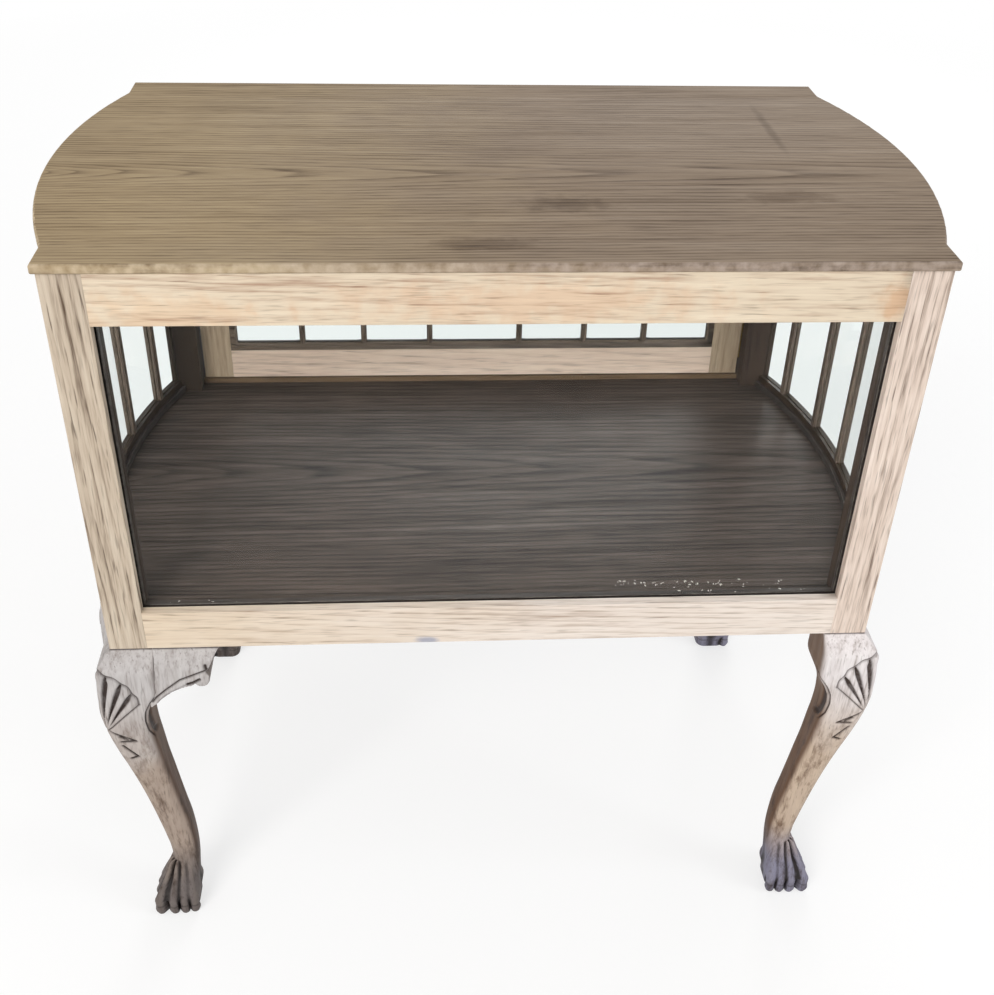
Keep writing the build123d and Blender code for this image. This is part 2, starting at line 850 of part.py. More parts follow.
def hinge_leaf(middle, on_door):
    """One leaf with its knuckles. The leaves lie face to face in the gap beside the door."""
    if on_door:
        x0, x1 = door_side, door_side + leaf_thickness
    else:
        x0, x1 = post_inner_x - leaf_thickness, post_inner_x
    y0 = half_depth - leaf_depth
    low = middle - hinge_height / 2
    shape = block(x0, x1, y0, half_depth, low, low + hinge_height)
    for index, (z0, z1) in enumerate(knuckle_spans(middle)):
        if (index == 1) == on_door:
            shape += block(x0, x1, half_depth, hinge_y, z0, z1)
            shape += rod((hinge_x, hinge_y, z0), (hinge_x, hinge_y, z1), knuckle_radius)
    bore = pin_radius + pin_running_gap
    shape -= rod((hinge_x, hinge_y, low), (hinge_x, hinge_y, low + hinge_height), bore)
    for z in hinge_screw_heights(middle):
        shape -= hinge_screw(z, on_door)
    return shape


def hinge_pin(middle):
    low = middle - hinge_height / 2
    high = middle + hinge_height / 2
    shape = rod((hinge_x, hinge_y, low), (hinge_x, hinge_y, high), pin_radius)
    shape += rod((hinge_x, hinge_y, high), (hinge_x, hinge_y, high + pin_head_height), pin_head_radius)
    return shape + rod((hinge_x, hinge_y, low - pin_head_height), (hinge_x, hinge_y, low), pin_head_radius)


def hinge_screw_heights(middle):
    return [middle - hinge_screw_spread, middle, middle + hinge_screw_spread]


def hinge_screw(z, on_door):
    """A countersunk screw whose head lies flush with the leaf's open face."""
    y = half_depth - leaf_depth / 2
    if on_door:
        face, inward = door_side + leaf_thickness, -1
    else:
        face, inward = post_inner_x - leaf_thickness, 1
    head = Plane(origin=(face + inward * leaf_thickness / 2, y, z), z_dir=(-inward, 0, 0))
    shape = head * Cone(screw_shank_radius, screw_head_radius, leaf_thickness)
    start = (face + inward * leaf_thickness, y, z)
    end = (face + inward * screw_length, y, z)
    return shape + rod(start, end, screw_shank_radius)


# Lock in the left stile, with its bolt, key, escutcheon and strike


def lock_case():
    """A shallow metal box let into the stile, with a face plate on the stile's edge."""
    low = door_middle_z - lock_height / 2
    high = door_middle_z + lock_height / 2
    x0 = -door_side
    x1 = x0 + lock_width
    shell = block(x0, x1, lock_y0, lock_y1, low, high)
    shell -= block(
        x0 + lock_face_thickness, x1 - lock_wall, lock_y0 + lock_wall, lock_y1 - lock_wall,
        low + lock_wall, high - lock_wall,
    )
    shell -= bolt_bar(bolt_gap, bolt_throw)
    inner = (key_x, lock_y0 + lock_wall, door_middle_z)
    return shell - rod(inner, (key_x, half_depth, door_middle_z), keyhole_radius)


def bolt_bar(gap, travel):
    """The bolt's straight bar at rest, or its guide hole when given a gap and its travel."""
    middle_y = (lock_y0 + lock_y1) / 2
    return block(
        -door_side - travel, -door_side + lock_width - lock_wall - bolt_end_gap,
        middle_y - bolt_thickness / 2 - gap, middle_y + bolt_thickness / 2 + gap,
        door_middle_z + bolt_offset - gap, door_middle_z + bolt_offset + bolt_height + gap,
    )


def lock_bolt():
    """The bolt, drawn back flush with the face plate, with a notch that the key's bit works in."""
    bar = bolt_bar(0, 0)
    notch = block(
        key_x - talon_width / 2, key_x + talon_width / 2, lock_y0, lock_y1,
        door_middle_z, door_middle_z + bolt_offset + talon_height,
    )
    return bar - notch


def key():
    """A barrel key: ring bow outside the door, shank through the stile, bit inside the lock."""
    inner = (lock_y0 + lock_y1) / 2 - key_bit_depth / 2
    outer = half_depth + key_stick_out - 2 * key_bow_radius
    shape = rod((key_x, inner, door_middle_z), (key_x, outer, door_middle_z), key_shank_radius)
    ring_y = outer + key_bow_radius - key_bow_overlap
    ring = Plane(origin=(key_x, ring_y, door_middle_z), z_dir=(1, 0, 0))
    shape += ring * Torus(key_bow_radius - key_bow_wire, key_bow_wire)
    bit = block(
        key_x - key_bit_width / 2, key_x + key_bit_width / 2, inner, inner + key_bit_depth,
        door_middle_z - key_bit_length, door_middle_z,
    )
    return shape + bit


def keyhole():
    """The hole through the stile's outer side and the plate on it."""
    inner = lock_y1 - lock_wall / 2
    outer = half_depth + escutcheon_thickness + cutter_margin
    hole = rod((key_x, inner, door_middle_z), (key_x, outer, door_middle_z), keyhole_radius)
    slot = key_bit_width / 2 + keyhole_slot_gap
    drop = key_bit_length + keyhole_end_gap
    return hole + block(key_x - slot, key_x + slot, inner, outer, door_middle_z - drop, door_middle_z)


def escutcheon():
    middle = (key_x, half_depth, door_middle_z - escutcheon_drop)
    plate = Plane(origin=middle, x_dir=(1, 0, 0), z_dir=(0, 1, 0))
    shape = extrude(plate * Ellipse(escutcheon_width / 2, escutcheon_height / 2), escutcheon_thickness)
    shape -= keyhole()
    for pin in escutcheon_pins():
        shape -= pin
    return shape


def escutcheon_pins():
    spread = escutcheon_height / 2 - escutcheon_pin_inset
    inner = half_depth - escutcheon_pin_depth
    outer = half_depth + escutcheon_thickness + escutcheon_pin_head
    pins = []
    for side in (-1, 1):
        z = door_middle_z - escutcheon_drop + side * spread
        pins.append(rod((key_x, inner, z), (key_x, outer, z), escutcheon_pin_radius))
    return pins


def strike_plate():
    """The plate let into the post, with a slot for the bolt."""
    middle_y = (lock_y0 + lock_y1) / 2
    half = strike_depth / 2
    low = door_middle_z + bolt_offset + bolt_height / 2 - strike_height / 2
    plate = block(
        -post_inner_x - strike_thickness, -post_inner_x, middle_y - half, middle_y + half,
        low, low + strike_height,
    )
    return plate - strike_slot()


def strike_slot():
    middle_y = (lock_y0 + lock_y1) / 2
    half = bolt_thickness / 2 + strike_clearance
    low = door_middle_z + bolt_offset - strike_clearance
    high = door_middle_z + bolt_offset + bolt_height + strike_clearance
    reach = -post_inner_x - bolt_throw - strike_clearance
    return block(reach, -post_inner_x, middle_y - half, middle_y + half, low, high)


def door_stop():
    """A strip on the rear top rail that the closed door lies against."""
    side = post_inner_x - door_stop_end_gap
    low = door_high - door_stop_drop
    outer = rear_rail_face - door_stop_gap
    return block(-side, side, outer - door_stop_thickness, outer, low, case_top - door_stop_top_gap)


# Write every sub-part

os.makedirs("parts", exist_ok=True)

save("top_board", top_board() - Compound(children=[s.solid() for s in top_screws()]))
save("front_top_rail", front_top_rail())
save("front_bottom_rail", front_bottom_rail())
save("rear_top_rail", rear_rail("rear_top_rail"))
save("rear_bottom_rail", rear_rail("rear_bottom_rail"))
save("front_pane", front_pane())
save("front_pane_beads", *front_pane_beads())
save("floor_board", floor_board())
save("floor_battens", *floor_battens())
save("floor_screws", *[batten_screw(x, y) for x, y in batten_screw_places()])
save("top_blocks", *top_blocks())
save("top_screws", *top_screws())

front_post = post(True)
rear_post = post(False)
hinge_post = rear_post
for hinge_middle in hinge_middles:
    for height in hinge_screw_heights(hinge_middle):
        hinge_post = hinge_post - hinge_screw(height, False)
save("front_left_post", to_corner(front_post, -1, 1))
save("front_right_post", front_post)
save("rear_left_post", to_corner(rear_post, -1, 1) - strike_plate() - strike_slot())
save("rear_right_post", hinge_post)

for side_name, side in (("left", -1), ("right", 1)):
    for rail_name in end_rail_places:
        save(side_name + "_" + rail_name, to_corner(end_rail(rail_name), side, 1))
    save(side_name + "_end_bars", *[to_corner(bar, side, 1) for bar in end_bars()])
    save(side_name + "_end_panes", *[to_corner(pane, side, 1) for pane in end_panes()])
    save(side_name + "_floor_bead", to_corner(floor_bead(), side, 1))

rear_right_leg = leg()
rear_right_side_wing = curved_wing() - rear_right_leg
rear_right_straight_wing = straight_wing() - rear_right_leg
dowels = []
for row_name, row in (("front", -1), ("rear", 1)):
    for side_name, side in (("left", -1), ("right", 1)):
        corner = row_name + "_" + side_name
        save(corner + "_leg", to_corner(rear_right_leg, side, row))
        save(corner + "_side_wing", to_corner(rear_right_side_wing, side, row))
        dowels.append(to_corner(leg_dowel(0), side, row))
        if corner != "front_right":
            save(corner + "_" + row_name + "_wing", to_corner(rear_right_straight_wing, side, row))
save("leg_dowels", *dowels)

hinge_stile = door_stile(1)
for hinge_middle in hinge_middles:
    for height in hinge_screw_heights(hinge_middle):
        hinge_stile = hinge_stile - hinge_screw(height, True)
lock_pocket = block(
    -door_side, -door_side + lock_width, lock_y0, lock_y1,
    door_middle_z - lock_height / 2, door_middle_z + lock_height / 2,
)
lock_stile = door_stile(-1) - lock_pocket - keyhole()
for pin in escutcheon_pins():
    lock_stile = lock_stile - pin
save("door_hinge_stile", hinge_stile)
save("door_lock_stile", lock_stile)
save("door_top_rail", door_rail(light_high, door_high))
save("door_bottom_rail", door_rail(door_low, light_low))
save("door_moulding", *door_moulding())
save("door_bars", *door_bars())
save("door_bar_strips", *door_bar_strips())
save("door_panes", *door_panes())
save("door_glass_beads", *door_glass_beads())
save("door_stop", door_stop())

save("hinge_post_leaves", *[hinge_leaf(middle, False) for middle in hinge_middles])
save("hinge_door_leaves", *[hinge_leaf(middle, True) for middle in hinge_middles])
save("hinge_pins", *[hinge_pin(middle) for middle in hinge_middles])
heights = [height for middle in hinge_middles for height in hinge_screw_heights(middle)]
save("hinge_post_screws", *[hinge_screw(height, False) for height in heights])
save("hinge_door_screws", *[hinge_screw(height, True) for height in heights])
save("lock_case", lock_case())
save("lock_bolt", lock_bolt())
save("key", key())
save("escutcheon", escutcheon())
save("escutcheon_pins", *escutcheon_pins())
save("strike_plate", strike_plate())
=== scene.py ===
import json
import math
import random

import bmesh
import bpy
import numpy as np
from mathutils import Matrix, Vector, noise

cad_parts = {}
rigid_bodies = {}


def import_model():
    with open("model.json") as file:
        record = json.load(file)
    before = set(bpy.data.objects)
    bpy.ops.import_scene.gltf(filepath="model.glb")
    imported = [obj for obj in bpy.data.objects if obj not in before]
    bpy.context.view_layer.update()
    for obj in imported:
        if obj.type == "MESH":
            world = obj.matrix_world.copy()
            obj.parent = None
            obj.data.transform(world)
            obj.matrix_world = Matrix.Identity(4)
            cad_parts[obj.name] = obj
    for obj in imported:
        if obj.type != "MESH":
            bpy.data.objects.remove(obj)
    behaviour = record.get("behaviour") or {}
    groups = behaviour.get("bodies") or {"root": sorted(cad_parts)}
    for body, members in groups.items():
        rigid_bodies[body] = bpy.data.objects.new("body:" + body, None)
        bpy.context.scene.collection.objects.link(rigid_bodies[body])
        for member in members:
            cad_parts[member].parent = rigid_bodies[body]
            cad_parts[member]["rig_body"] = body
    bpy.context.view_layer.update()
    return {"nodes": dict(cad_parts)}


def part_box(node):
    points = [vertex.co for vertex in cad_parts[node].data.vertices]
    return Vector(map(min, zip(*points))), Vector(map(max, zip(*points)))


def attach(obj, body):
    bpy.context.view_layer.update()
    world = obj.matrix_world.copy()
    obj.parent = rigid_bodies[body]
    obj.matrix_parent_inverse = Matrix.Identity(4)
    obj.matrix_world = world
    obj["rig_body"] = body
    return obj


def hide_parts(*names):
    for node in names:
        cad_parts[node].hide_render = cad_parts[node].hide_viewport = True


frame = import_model()
nodes = frame["nodes"]


# Camera: it stands a little left of the middle, above the top board, and looks down at the plain glass
# side. Its place and turn were worked out from the straight edges of the case.
def linked(name, data):
    """An object that holds the data, put into the scene."""
    thing = bpy.data.objects.new(name, data)
    bpy.context.collection.objects.link(thing)
    return thing


camera_place = Vector((-0.0901, -1.4236, 1.4804))
yaw, pitch, roll = (math.radians(turn) for turn in (4.43, -34.66, 1.673))
ahead = Vector((math.sin(yaw) * math.cos(pitch), math.cos(yaw) * math.cos(pitch), math.sin(pitch)))
level = Vector((math.cos(yaw), -math.sin(yaw), 0))
above = level.cross(ahead)
camera_x = level * math.cos(roll) + above * math.sin(roll)
camera_y = above * math.cos(roll) - level * math.sin(roll)
camera_turn = Matrix((camera_x, camera_y, -ahead)).transposed().to_4x4()
camera_data = bpy.data.cameras.new("camera")
camera_data.lens = 45.43
camera_data.sensor_width = 36.0
camera = linked("camera", camera_data)
camera.matrix_world = Matrix.Translation(camera_place) @ camera_turn
scene = bpy.context.scene
scene.camera = camera
scene.view_settings.view_transform = "Standard"


# Studio: a plain pale floor that keeps the cabinet's soft shadow, one large lamp in front, to the left and
# above, a smaller one at the right and one behind, and an even pale surround.
def feed(tree, sockets, inputs):
    """Link each input to its socket, or set it there."""
    for name, value in inputs.items():
        if isinstance(value, bpy.types.NodeSocket):
            tree.links.new(value, sockets[name])
        else:
            sockets[name].default_value = value


def put(tree, kind, inputs=None, **settings):
    """Add a node with its settings and feed its inputs."""
    node = tree.nodes.new(kind)
    for name, value in settings.items():
        setattr(node, name, value)
    feed(tree, node.inputs, inputs or {})
    return node


def calc(tree, operation, *values, clamp=False):
    node = put(tree, "ShaderNodeMath", dict(enumerate(values)), operation=operation, use_clamp=clamp)
    return node.outputs[0]


def tint(red, green, blue):
    """A colour given as it looks on a screen, from 0 to 255, as the linear colour that a shader needs."""
    shares = [value / 255 for value in (red, green, blue)]
    linear = [share / 12.92 if share <= 0.04045 else ((share + 0.055) / 1.055) ** 2.4 for share in shares]
    return linear + [1.0]


def mixed(tree, share, under, over, mode="MIX"):
    layers = {0: share, 6: under, 7: over}
    return put(tree, "ShaderNodeMix", layers, data_type="RGBA", blend_type=mode).outputs[2]


def stretched(tree, value, low, high, top=1.0, **settings):
    """A value that runs from low to high, made to run from 0 to top."""
    ends = {"Value": value, "From Min": low, "From Max": high, "To Max": top}
    return put(tree, "ShaderNodeMapRange", ends, **settings).outputs[0]


def vector_calc(tree, operation, *vectors):
    return put(tree, "ShaderNodeVectorMath", dict(enumerate(vectors)), operation=operation).outputs


def object_place(tree):
    return put(tree, "ShaderNodeTexCoord").outputs["Object"]


def new_material(name):
    """A new material, its node tree and its shader's inputs."""
    material = bpy.data.materials.new(name)
    material.use_nodes = True
    return material, material.node_tree, material.node_tree.nodes["Principled BSDF"].inputs


def seen_white(tree):
    """1 for what the camera sees, also in metal or glass, and 0 for the light that falls on the cabinet."""
    path = tree.nodes.new("ShaderNodeLightPath").outputs
    seen = calc(tree, "MAXIMUM", path["Is Camera Ray"], path["Is Glossy Ray"])
    return calc(tree, "MAXIMUM", seen, path["Is Transmission Ray"])


plain_white = (1.0, 1.0, 1.0, 1.0)
surround_light = 0.5
world = bpy.data.worlds.new("surround")
world.use_nodes = True
scene.world = world
around = world.node_tree
strength = calc(around, "MULTIPLY_ADD", seen_white(around), 1.0 - surround_light, surround_light)
feed(around, around.nodes["Background"].inputs, {"Color": plain_white, "Strength": strength})

# Away from the cabinet the floor glows by itself and loses its paint, so that it meets the surround unseen.
near_glow = 0.62
floor_material, tree, paint = new_material("studio_floor")
feed(tree, paint, {"Roughness": 1.0, "Specular IOR Level": 0.0, "Emission Color": plain_white})
white = seen_white(tree)
far = stretched(tree, vector_calc(tree, "LENGTH", object_place(tree))["Value"], 1.8, 5.0)
near = mixed(tree, white, tint(232, 232, 230), tint(170, 170, 170))
pale = mixed(tree, calc(tree, "MULTIPLY", white, far), near, (0.0, 0.0, 0.0, 1.0))
glow = calc(tree, "MULTIPLY_ADD", far, 1.0 - near_glow, near_glow)
feed(tree, paint, {"Base Color": pale, "Emission Strength": calc(tree, "MULTIPLY", white, glow)})
floor_reach = 14.0
floor_drop = 0.0004
floor_corners = ((-1, -1), (1, -1), (1, 1), (-1, 1))
floor_places = [(x * floor_reach, y * floor_reach, -floor_drop) for x, y in floor_corners]
floor_mesh = bpy.data.meshes.new("studio_floor")
floor_mesh.from_pydata(floor_places, [], [(0, 1, 2, 3)])
floor_mesh.materials.append(floor_material)
linked("studio_floor", floor_mesh)


def soft_lamp(name, place, target, size, power, colour=(1.0, 1.0, 1.0)):
    data = bpy.data.lights.new(name, "AREA")
    data.size = size
    data.energy = power
    data.color = colour
    lamp = linked(name, data)
    lamp.location = place
    lamp.rotation_euler = (Vector(target) - Vector(place)).to_track_quat("-Z", "Y").to_euler()


soft_lamp("front_lamp", (-2.4, -4.2, 3.4), (0.0, 0.0, 0.7), 2.6, 175.0, (1.0, 0.985, 0.96))
soft_lamp("right_lamp", (3.6, -1.4, 2.2), (0.1, 0.0, 0.7), 1.6, 38.0, (0.94, 0.97, 1.0))
soft_lamp("rear_lamp", (0.8, 4.4, 2.6), (0.0, 0.0, 0.6), 2.4, 70.0)


# Top board: one wide piece of oak with its grain along the cabinet, straight front and rear edges, bowed
# ends and a short straight ear at each corner. It was stripped of its dark finish, which left it grey brown
# and blotched. Every other oak piece shares this grain and the rubbed edges.
def shader_group(name, inputs, outputs):
    """An empty shader group with its sockets, and its inner input and output sockets."""
    kinds = {"value": "NodeSocketFloat", "colour": "NodeSocketColor", "place": "NodeSocketVector"}
    group = bpy.data.node_groups.new(name, "ShaderNodeTree")
    for label, kind in inputs:
        group.interface.new_socket(label, in_out="INPUT", socket_type=kinds[kind])
    for label, kind in outputs:
        group.interface.new_socket(label, in_out="OUTPUT", socket_type=kinds[kind])
    return group, group.nodes.new("NodeGroupInput").outputs, group.nodes.new("NodeGroupOutput").inputs


def cloud(tree, place, scale, detail, rough=0.5):
    """Noise that is alike in every direction."""
    settings = {"Vector": place, "Scale": scale, "Detail": detail, "Roughness": rough}
    return put(tree, "ShaderNodeTexNoise", settings).outputs["Fac"]


def grain_noise(tree, place, stretch, detail, rough=0.5):
    """Noise drawn out along X, which is the way the grain runs."""
    off_centre = (0.37, 0.41, 0.23)
    drawn = vector_calc(tree, "MULTIPLY_ADD", place, stretch, off_centre)[0]
    return cloud(tree, drawn, 1.0, detail, rough)


def centred(tree, value, weight):
    """A noise value turned into a swing about zero of that weight."""
    return calc(tree, "MULTIPLY", calc(tree, "SUBTRACT", value, 0.5), weight)


def oak_grain_group():
    """Growth rings round the tree's heart, as the face of the board cuts them, with streaks, fibres, pores
    and blotches over them. The heart slopes away along the board, so the rings run out into tongues."""
    labels = ("Ring", "Figure", "Streak", "Pores", "Blotch", "Tongue Start", "Tongue Slope", "Tongue Power")
    numbers = [(label, "value") for label in labels]
    colours = [(label, "colour") for label in ("Pale", "Middle", "Dark")]
    outputs = [("Color", "colour"), ("Height", "value"), ("Streaks", "value")]
    group, given, result = shader_group("oak_grain", [("Place", "place")] + numbers + colours, outputs)
    place = given["Place"]
    axes = put(group, "ShaderNodeSeparateXYZ", {0: place}).outputs
    wander = grain_noise(group, place, (1.6, 5.0, 5.0), 2.0)
    across = calc(group, "ADD", axes[1], centred(group, wander, 0.03))
    along = calc(group, "MAXIMUM", calc(group, "SUBTRACT", axes[0], given["Tongue Start"]), 0.001)
    along = calc(group, "POWER", along, given["Tongue Power"])
    rise = calc(group, "MULTIPLY_ADD", along, given["Tongue Slope"], axes[2])
    squares = calc(group, "ADD", calc(group, "POWER", across, 2.0), calc(group, "POWER", rise, 2.0))
    radius = calc(group, "SQRT", squares)
    ripple = grain_noise(group, place, (7.0, 70.0, 70.0), 3.0)
    radius = calc(group, "MULTIPLY_ADD", centred(group, ripple, 0.8), given["Ring"], radius)
    phase = calc(group, "FRACT", calc(group, "DIVIDE", radius, given["Ring"]))
    ring = calc(group, "POWER", calc(group, "SUBTRACT", 1.0, phase), 2.6)
    ring = calc(group, "MULTIPLY", ring, calc(group, "MULTIPLY", phase, 9.0, clamp=True))
    streak = grain_noise(group, place, (3.0, 95.0, 95.0), 4.0, 0.65)
    fibre = grain_noise(group, place, (20.0, 290.0, 290.0), 2.0, 0.7)
    blotch = grain_noise(group, place, (5.0, 9.0, 9.0), 3.0, 0.6)
    pore = stretched(group, grain_noise(group, place, (27.0, 430.0, 430.0), 1.0), 0.58, 0.7)
    pore = calc(group, "MULTIPLY", pore, calc(group, "MULTIPLY_ADD", ring, 0.7, 0.3))
    tone = calc(group, "MULTIPLY_ADD", calc(group, "SUBTRACT", ring, 0.25), given["Figure"], 0.45)
    for swing, weight, label in ((streak, 2.0, "Streak"), (fibre, 1.5, "Streak"), (blotch, 2.0, "Blotch")):
        tone = calc(group, "MULTIPLY_ADD", centred(group, swing, weight), given[label], tone)
    lower = calc(group, "MULTIPLY", tone, 2.0, clamp=True)
    upper = calc(group, "MULTIPLY_ADD", tone, 2.0, -1.0, clamp=True)
    colour = mixed(group, lower, given["Pale"], given["Middle"])
    colour = mixed(group, upper, colour, given["Dark"])
    hollow = mixed(group, 1.0, given["Dark"], (0.45, 0.42, 0.4, 1.0), "MULTIPLY")
    colour = mixed(group, calc(group, "MULTIPLY", pore, given["Pores"], clamp=True), colour, hollow)
    height = calc(group, "MULTIPLY_ADD", pore, -0.8, calc(group, "MULTIPLY_ADD", ring, -0.25, streak))
    feed(group, result, {"Color": colour, "Height": height, "Streaks": streak})
    return group


def rubbed_group():
    """Wear over a finish: rubbed edges, old dark finish left in hollows, and dark stain on inner faces,
    which on the legs and wings is partly painted shade.
    """
    colours = [(label, "colour") for label in ("Color", "Worn", "Grime", "Stain")]
    outputs = [("Color", "colour"), ("Covered", "value")]
    group, given, result = shader_group("rubbed_finish", [("Place", "place")] + colours, outputs)
    marks = ("edge", "recess", "inside")
    readers = [put(group, "ShaderNodeAttribute", attribute_name=mark) for mark in marks]
    edge, recess, inside = (reader.outputs["Fac"] for reader in readers)
    patch = cloud(group, given["Place"], 90.0, 3.0)
    rub = calc(group, "MULTIPLY", edge, calc(group, "MULTIPLY_ADD", patch, 2.6, -0.75, clamp=True))
    colour = mixed(group, inside, given["Color"], given["Stain"], "MULTIPLY")
    colour = mixed(group, calc(group, "MULTIPLY", rub, 0.75), colour, given["Worn"])
    hold = calc(group, "MULTIPLY_ADD", patch, 0.9, 0.55, clamp=True)
    hold = calc(group, "MULTIPLY", recess, hold, clamp=True)
    colour = mixed(group, hold, colour, given["Grime"])
    feed(group, result, {"Color": colour, "Covered": calc(group, "MAXIMUM", hold, inside)})
    return group


def bumped(tree, strength, distance, height):
    relief = {"Strength": strength, "Distance": distance, "Height": height}
    return put(tree, "ShaderNodeBump", relief).outputs[0]


oak_grain = oak_grain_group()
rubbed_finish = rubbed_group()
grain_runs = {"x": (0, 1, 2), "y": (1, 0, 2), "z": (2, 0, 1)}


def oak(name, run, pith, ring, weights, colours, worn, grime=(52, 38, 30), stain=(92, 82, 74), gloss=0.66,
        relief=0.35, tongues=(-1.4, 0.075, 1.0), sheen=0.35):
    """A stripped or stained oak finish. run is the axis that the grain follows, pith where the tree's heart
    was, and ring how far apart its rings are. weights say how strongly figure, streaks, pores and blotches
    show. tongues are where the pointed figure starts along the board, how fast it opens, and how evenly."""
    material, tree, shader = new_material(name)
    place = object_place(tree)
    axes = put(tree, "ShaderNodeSeparateXYZ", {0: place}).outputs
    order = {at: axes[axis] for at, axis in enumerate(grain_runs[run])}
    turned = put(tree, "ShaderNodeCombineXYZ", order).outputs[0]
    values = {"Place": vector_calc(tree, "SUBTRACT", turned, pith)[0], "Ring": ring}
    values.update(zip(("Figure", "Streak", "Pores", "Blotch"), weights))
    values.update(zip(("Tongue Start", "Tongue Slope", "Tongue Power"), tongues))
    values.update(zip(("Pale", "Middle", "Dark"), (tint(*colour) for colour in colours)))
    grain = put(tree, "ShaderNodeGroup", values, node_tree=oak_grain).outputs
    wear = {"Place": place, "Color": grain["Color"], "Worn": tint(*worn)}
    wear.update({"Grime": tint(*grime), "Stain": tint(*stain)})
    rubbed = put(tree, "ShaderNodeGroup", wear, node_tree=rubbed_finish).outputs
    rough = calc(tree, "MULTIPLY_ADD", centred(tree, grain["Streaks"], 1.0), 0.5, gloss)
    rough = calc(tree, "MULTIPLY_ADD", rubbed["Covered"], -0.12, rough, clamp=True)
    feed(tree, shader, {"Base Color": rubbed["Color"], "Specular IOR Level": sheen, "Roughness": rough})
    feed(tree, shader, {"Normal": bumped(tree, relief, 0.0006, grain["Height"])})
    return material


def laid_over(material, layers):
    """Multiply colours over a finish, each within its own mask of the place on the object."""
    tree = material.node_tree
    base = tree.nodes["Principled BSDF"].inputs["Base Color"]
    colour = base.links[0].from_socket
    for mask, shade in layers:
        colour = mixed(tree, mask, colour, tint(*shade), "MULTIPLY")
    tree.links.new(colour, base)


def soft_spot(tree, middle, reach, uneven=0.5):
    """A mask that fades out from a point, over a reach along each axis, with a ragged rim."""
    place = object_place(tree)
    offset = vector_calc(tree, "DIVIDE", vector_calc(tree, "SUBTRACT", place, middle)[0], reach)[0]
    away = vector_calc(tree, "LENGTH", offset)["Value"]
    away = calc(tree, "ADD", away, centred(tree, cloud(tree, place, 60.0, 4.0), uneven * 2.0))
    return stretched(tree, away, 1.0, 0.2, interpolation_type="SMOOTHSTEP")


def ramp_along(tree, axis, start, end, uneven=0.0):
    """A mask that rises from 0 to 1 between two places along one axis."""
    place = object_place(tree)
    at = put(tree, "ShaderNodeSeparateXYZ", {0: place}).outputs[axis]
    if uneven:
        at = calc(tree, "ADD", at, centred(tree, cloud(tree, place, 14.0, 3.0), uneven))
    return stretched(tree, at, start, end)


def float_attribute(mesh, name, domain, values):
    layer = mesh.attributes.new(name, "FLOAT", domain)
    layer.data.foreach_set("value", np.asarray(values, np.float32).ravel())


def mark_faces(mesh, name, chosen):
    """Mark every corner of the faces that chosen() picks."""
    marks = [float(chosen(face)) for face in mesh.polygons for _ in face.vertices]
    float_attribute(mesh, name, "CORNER", marks)


def smooth_shaded(mesh, sharp_from):
    mesh.polygons.foreach_set("use_smooth", [True] * len(mesh.polygons))
    mesh.set_sharp_from_angle(angle=math.radians(sharp_from))


def new_object(name, mesh, material):
    piece = linked(name, mesh)
    mesh.materials.clear()
    mesh.materials.append(material)
    return piece


def stand_for(piece, node):
    """The piece takes the place of a CAD node, on that node's body."""
    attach(piece, nodes[node]["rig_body"])
    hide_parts(node)
def applied(holder):
    """The plain mesh that an object's modifiers give. The object itself goes."""
    bpy.context.view_layer.update()
    made = bpy.data.meshes.new_from_object(holder.evaluated_get(bpy.context.evaluated_depsgraph_get()))
    bpy.data.objects.remove(holder)
    return made


def flat_faced(mesh):
    """The mesh with the shading of its flat faces kept flat right up to their rounded edges."""
    holder = linked("holder", mesh)
    weighted = holder.modifiers.new("weighted", "WEIGHTED_NORMAL")
    weighted.mode = "FACE_AREA"
    weighted.keep_sharp = True
    return applied(holder)


def welded(mesh):
    """The mesh's loose triangles joined at their corners, ready to be shaped."""
    shape = bmesh.new()
    shape.from_mesh(mesh)
    bmesh.ops.remove_doubles(shape, verts=shape.verts, dist=1e-5)
    return shape


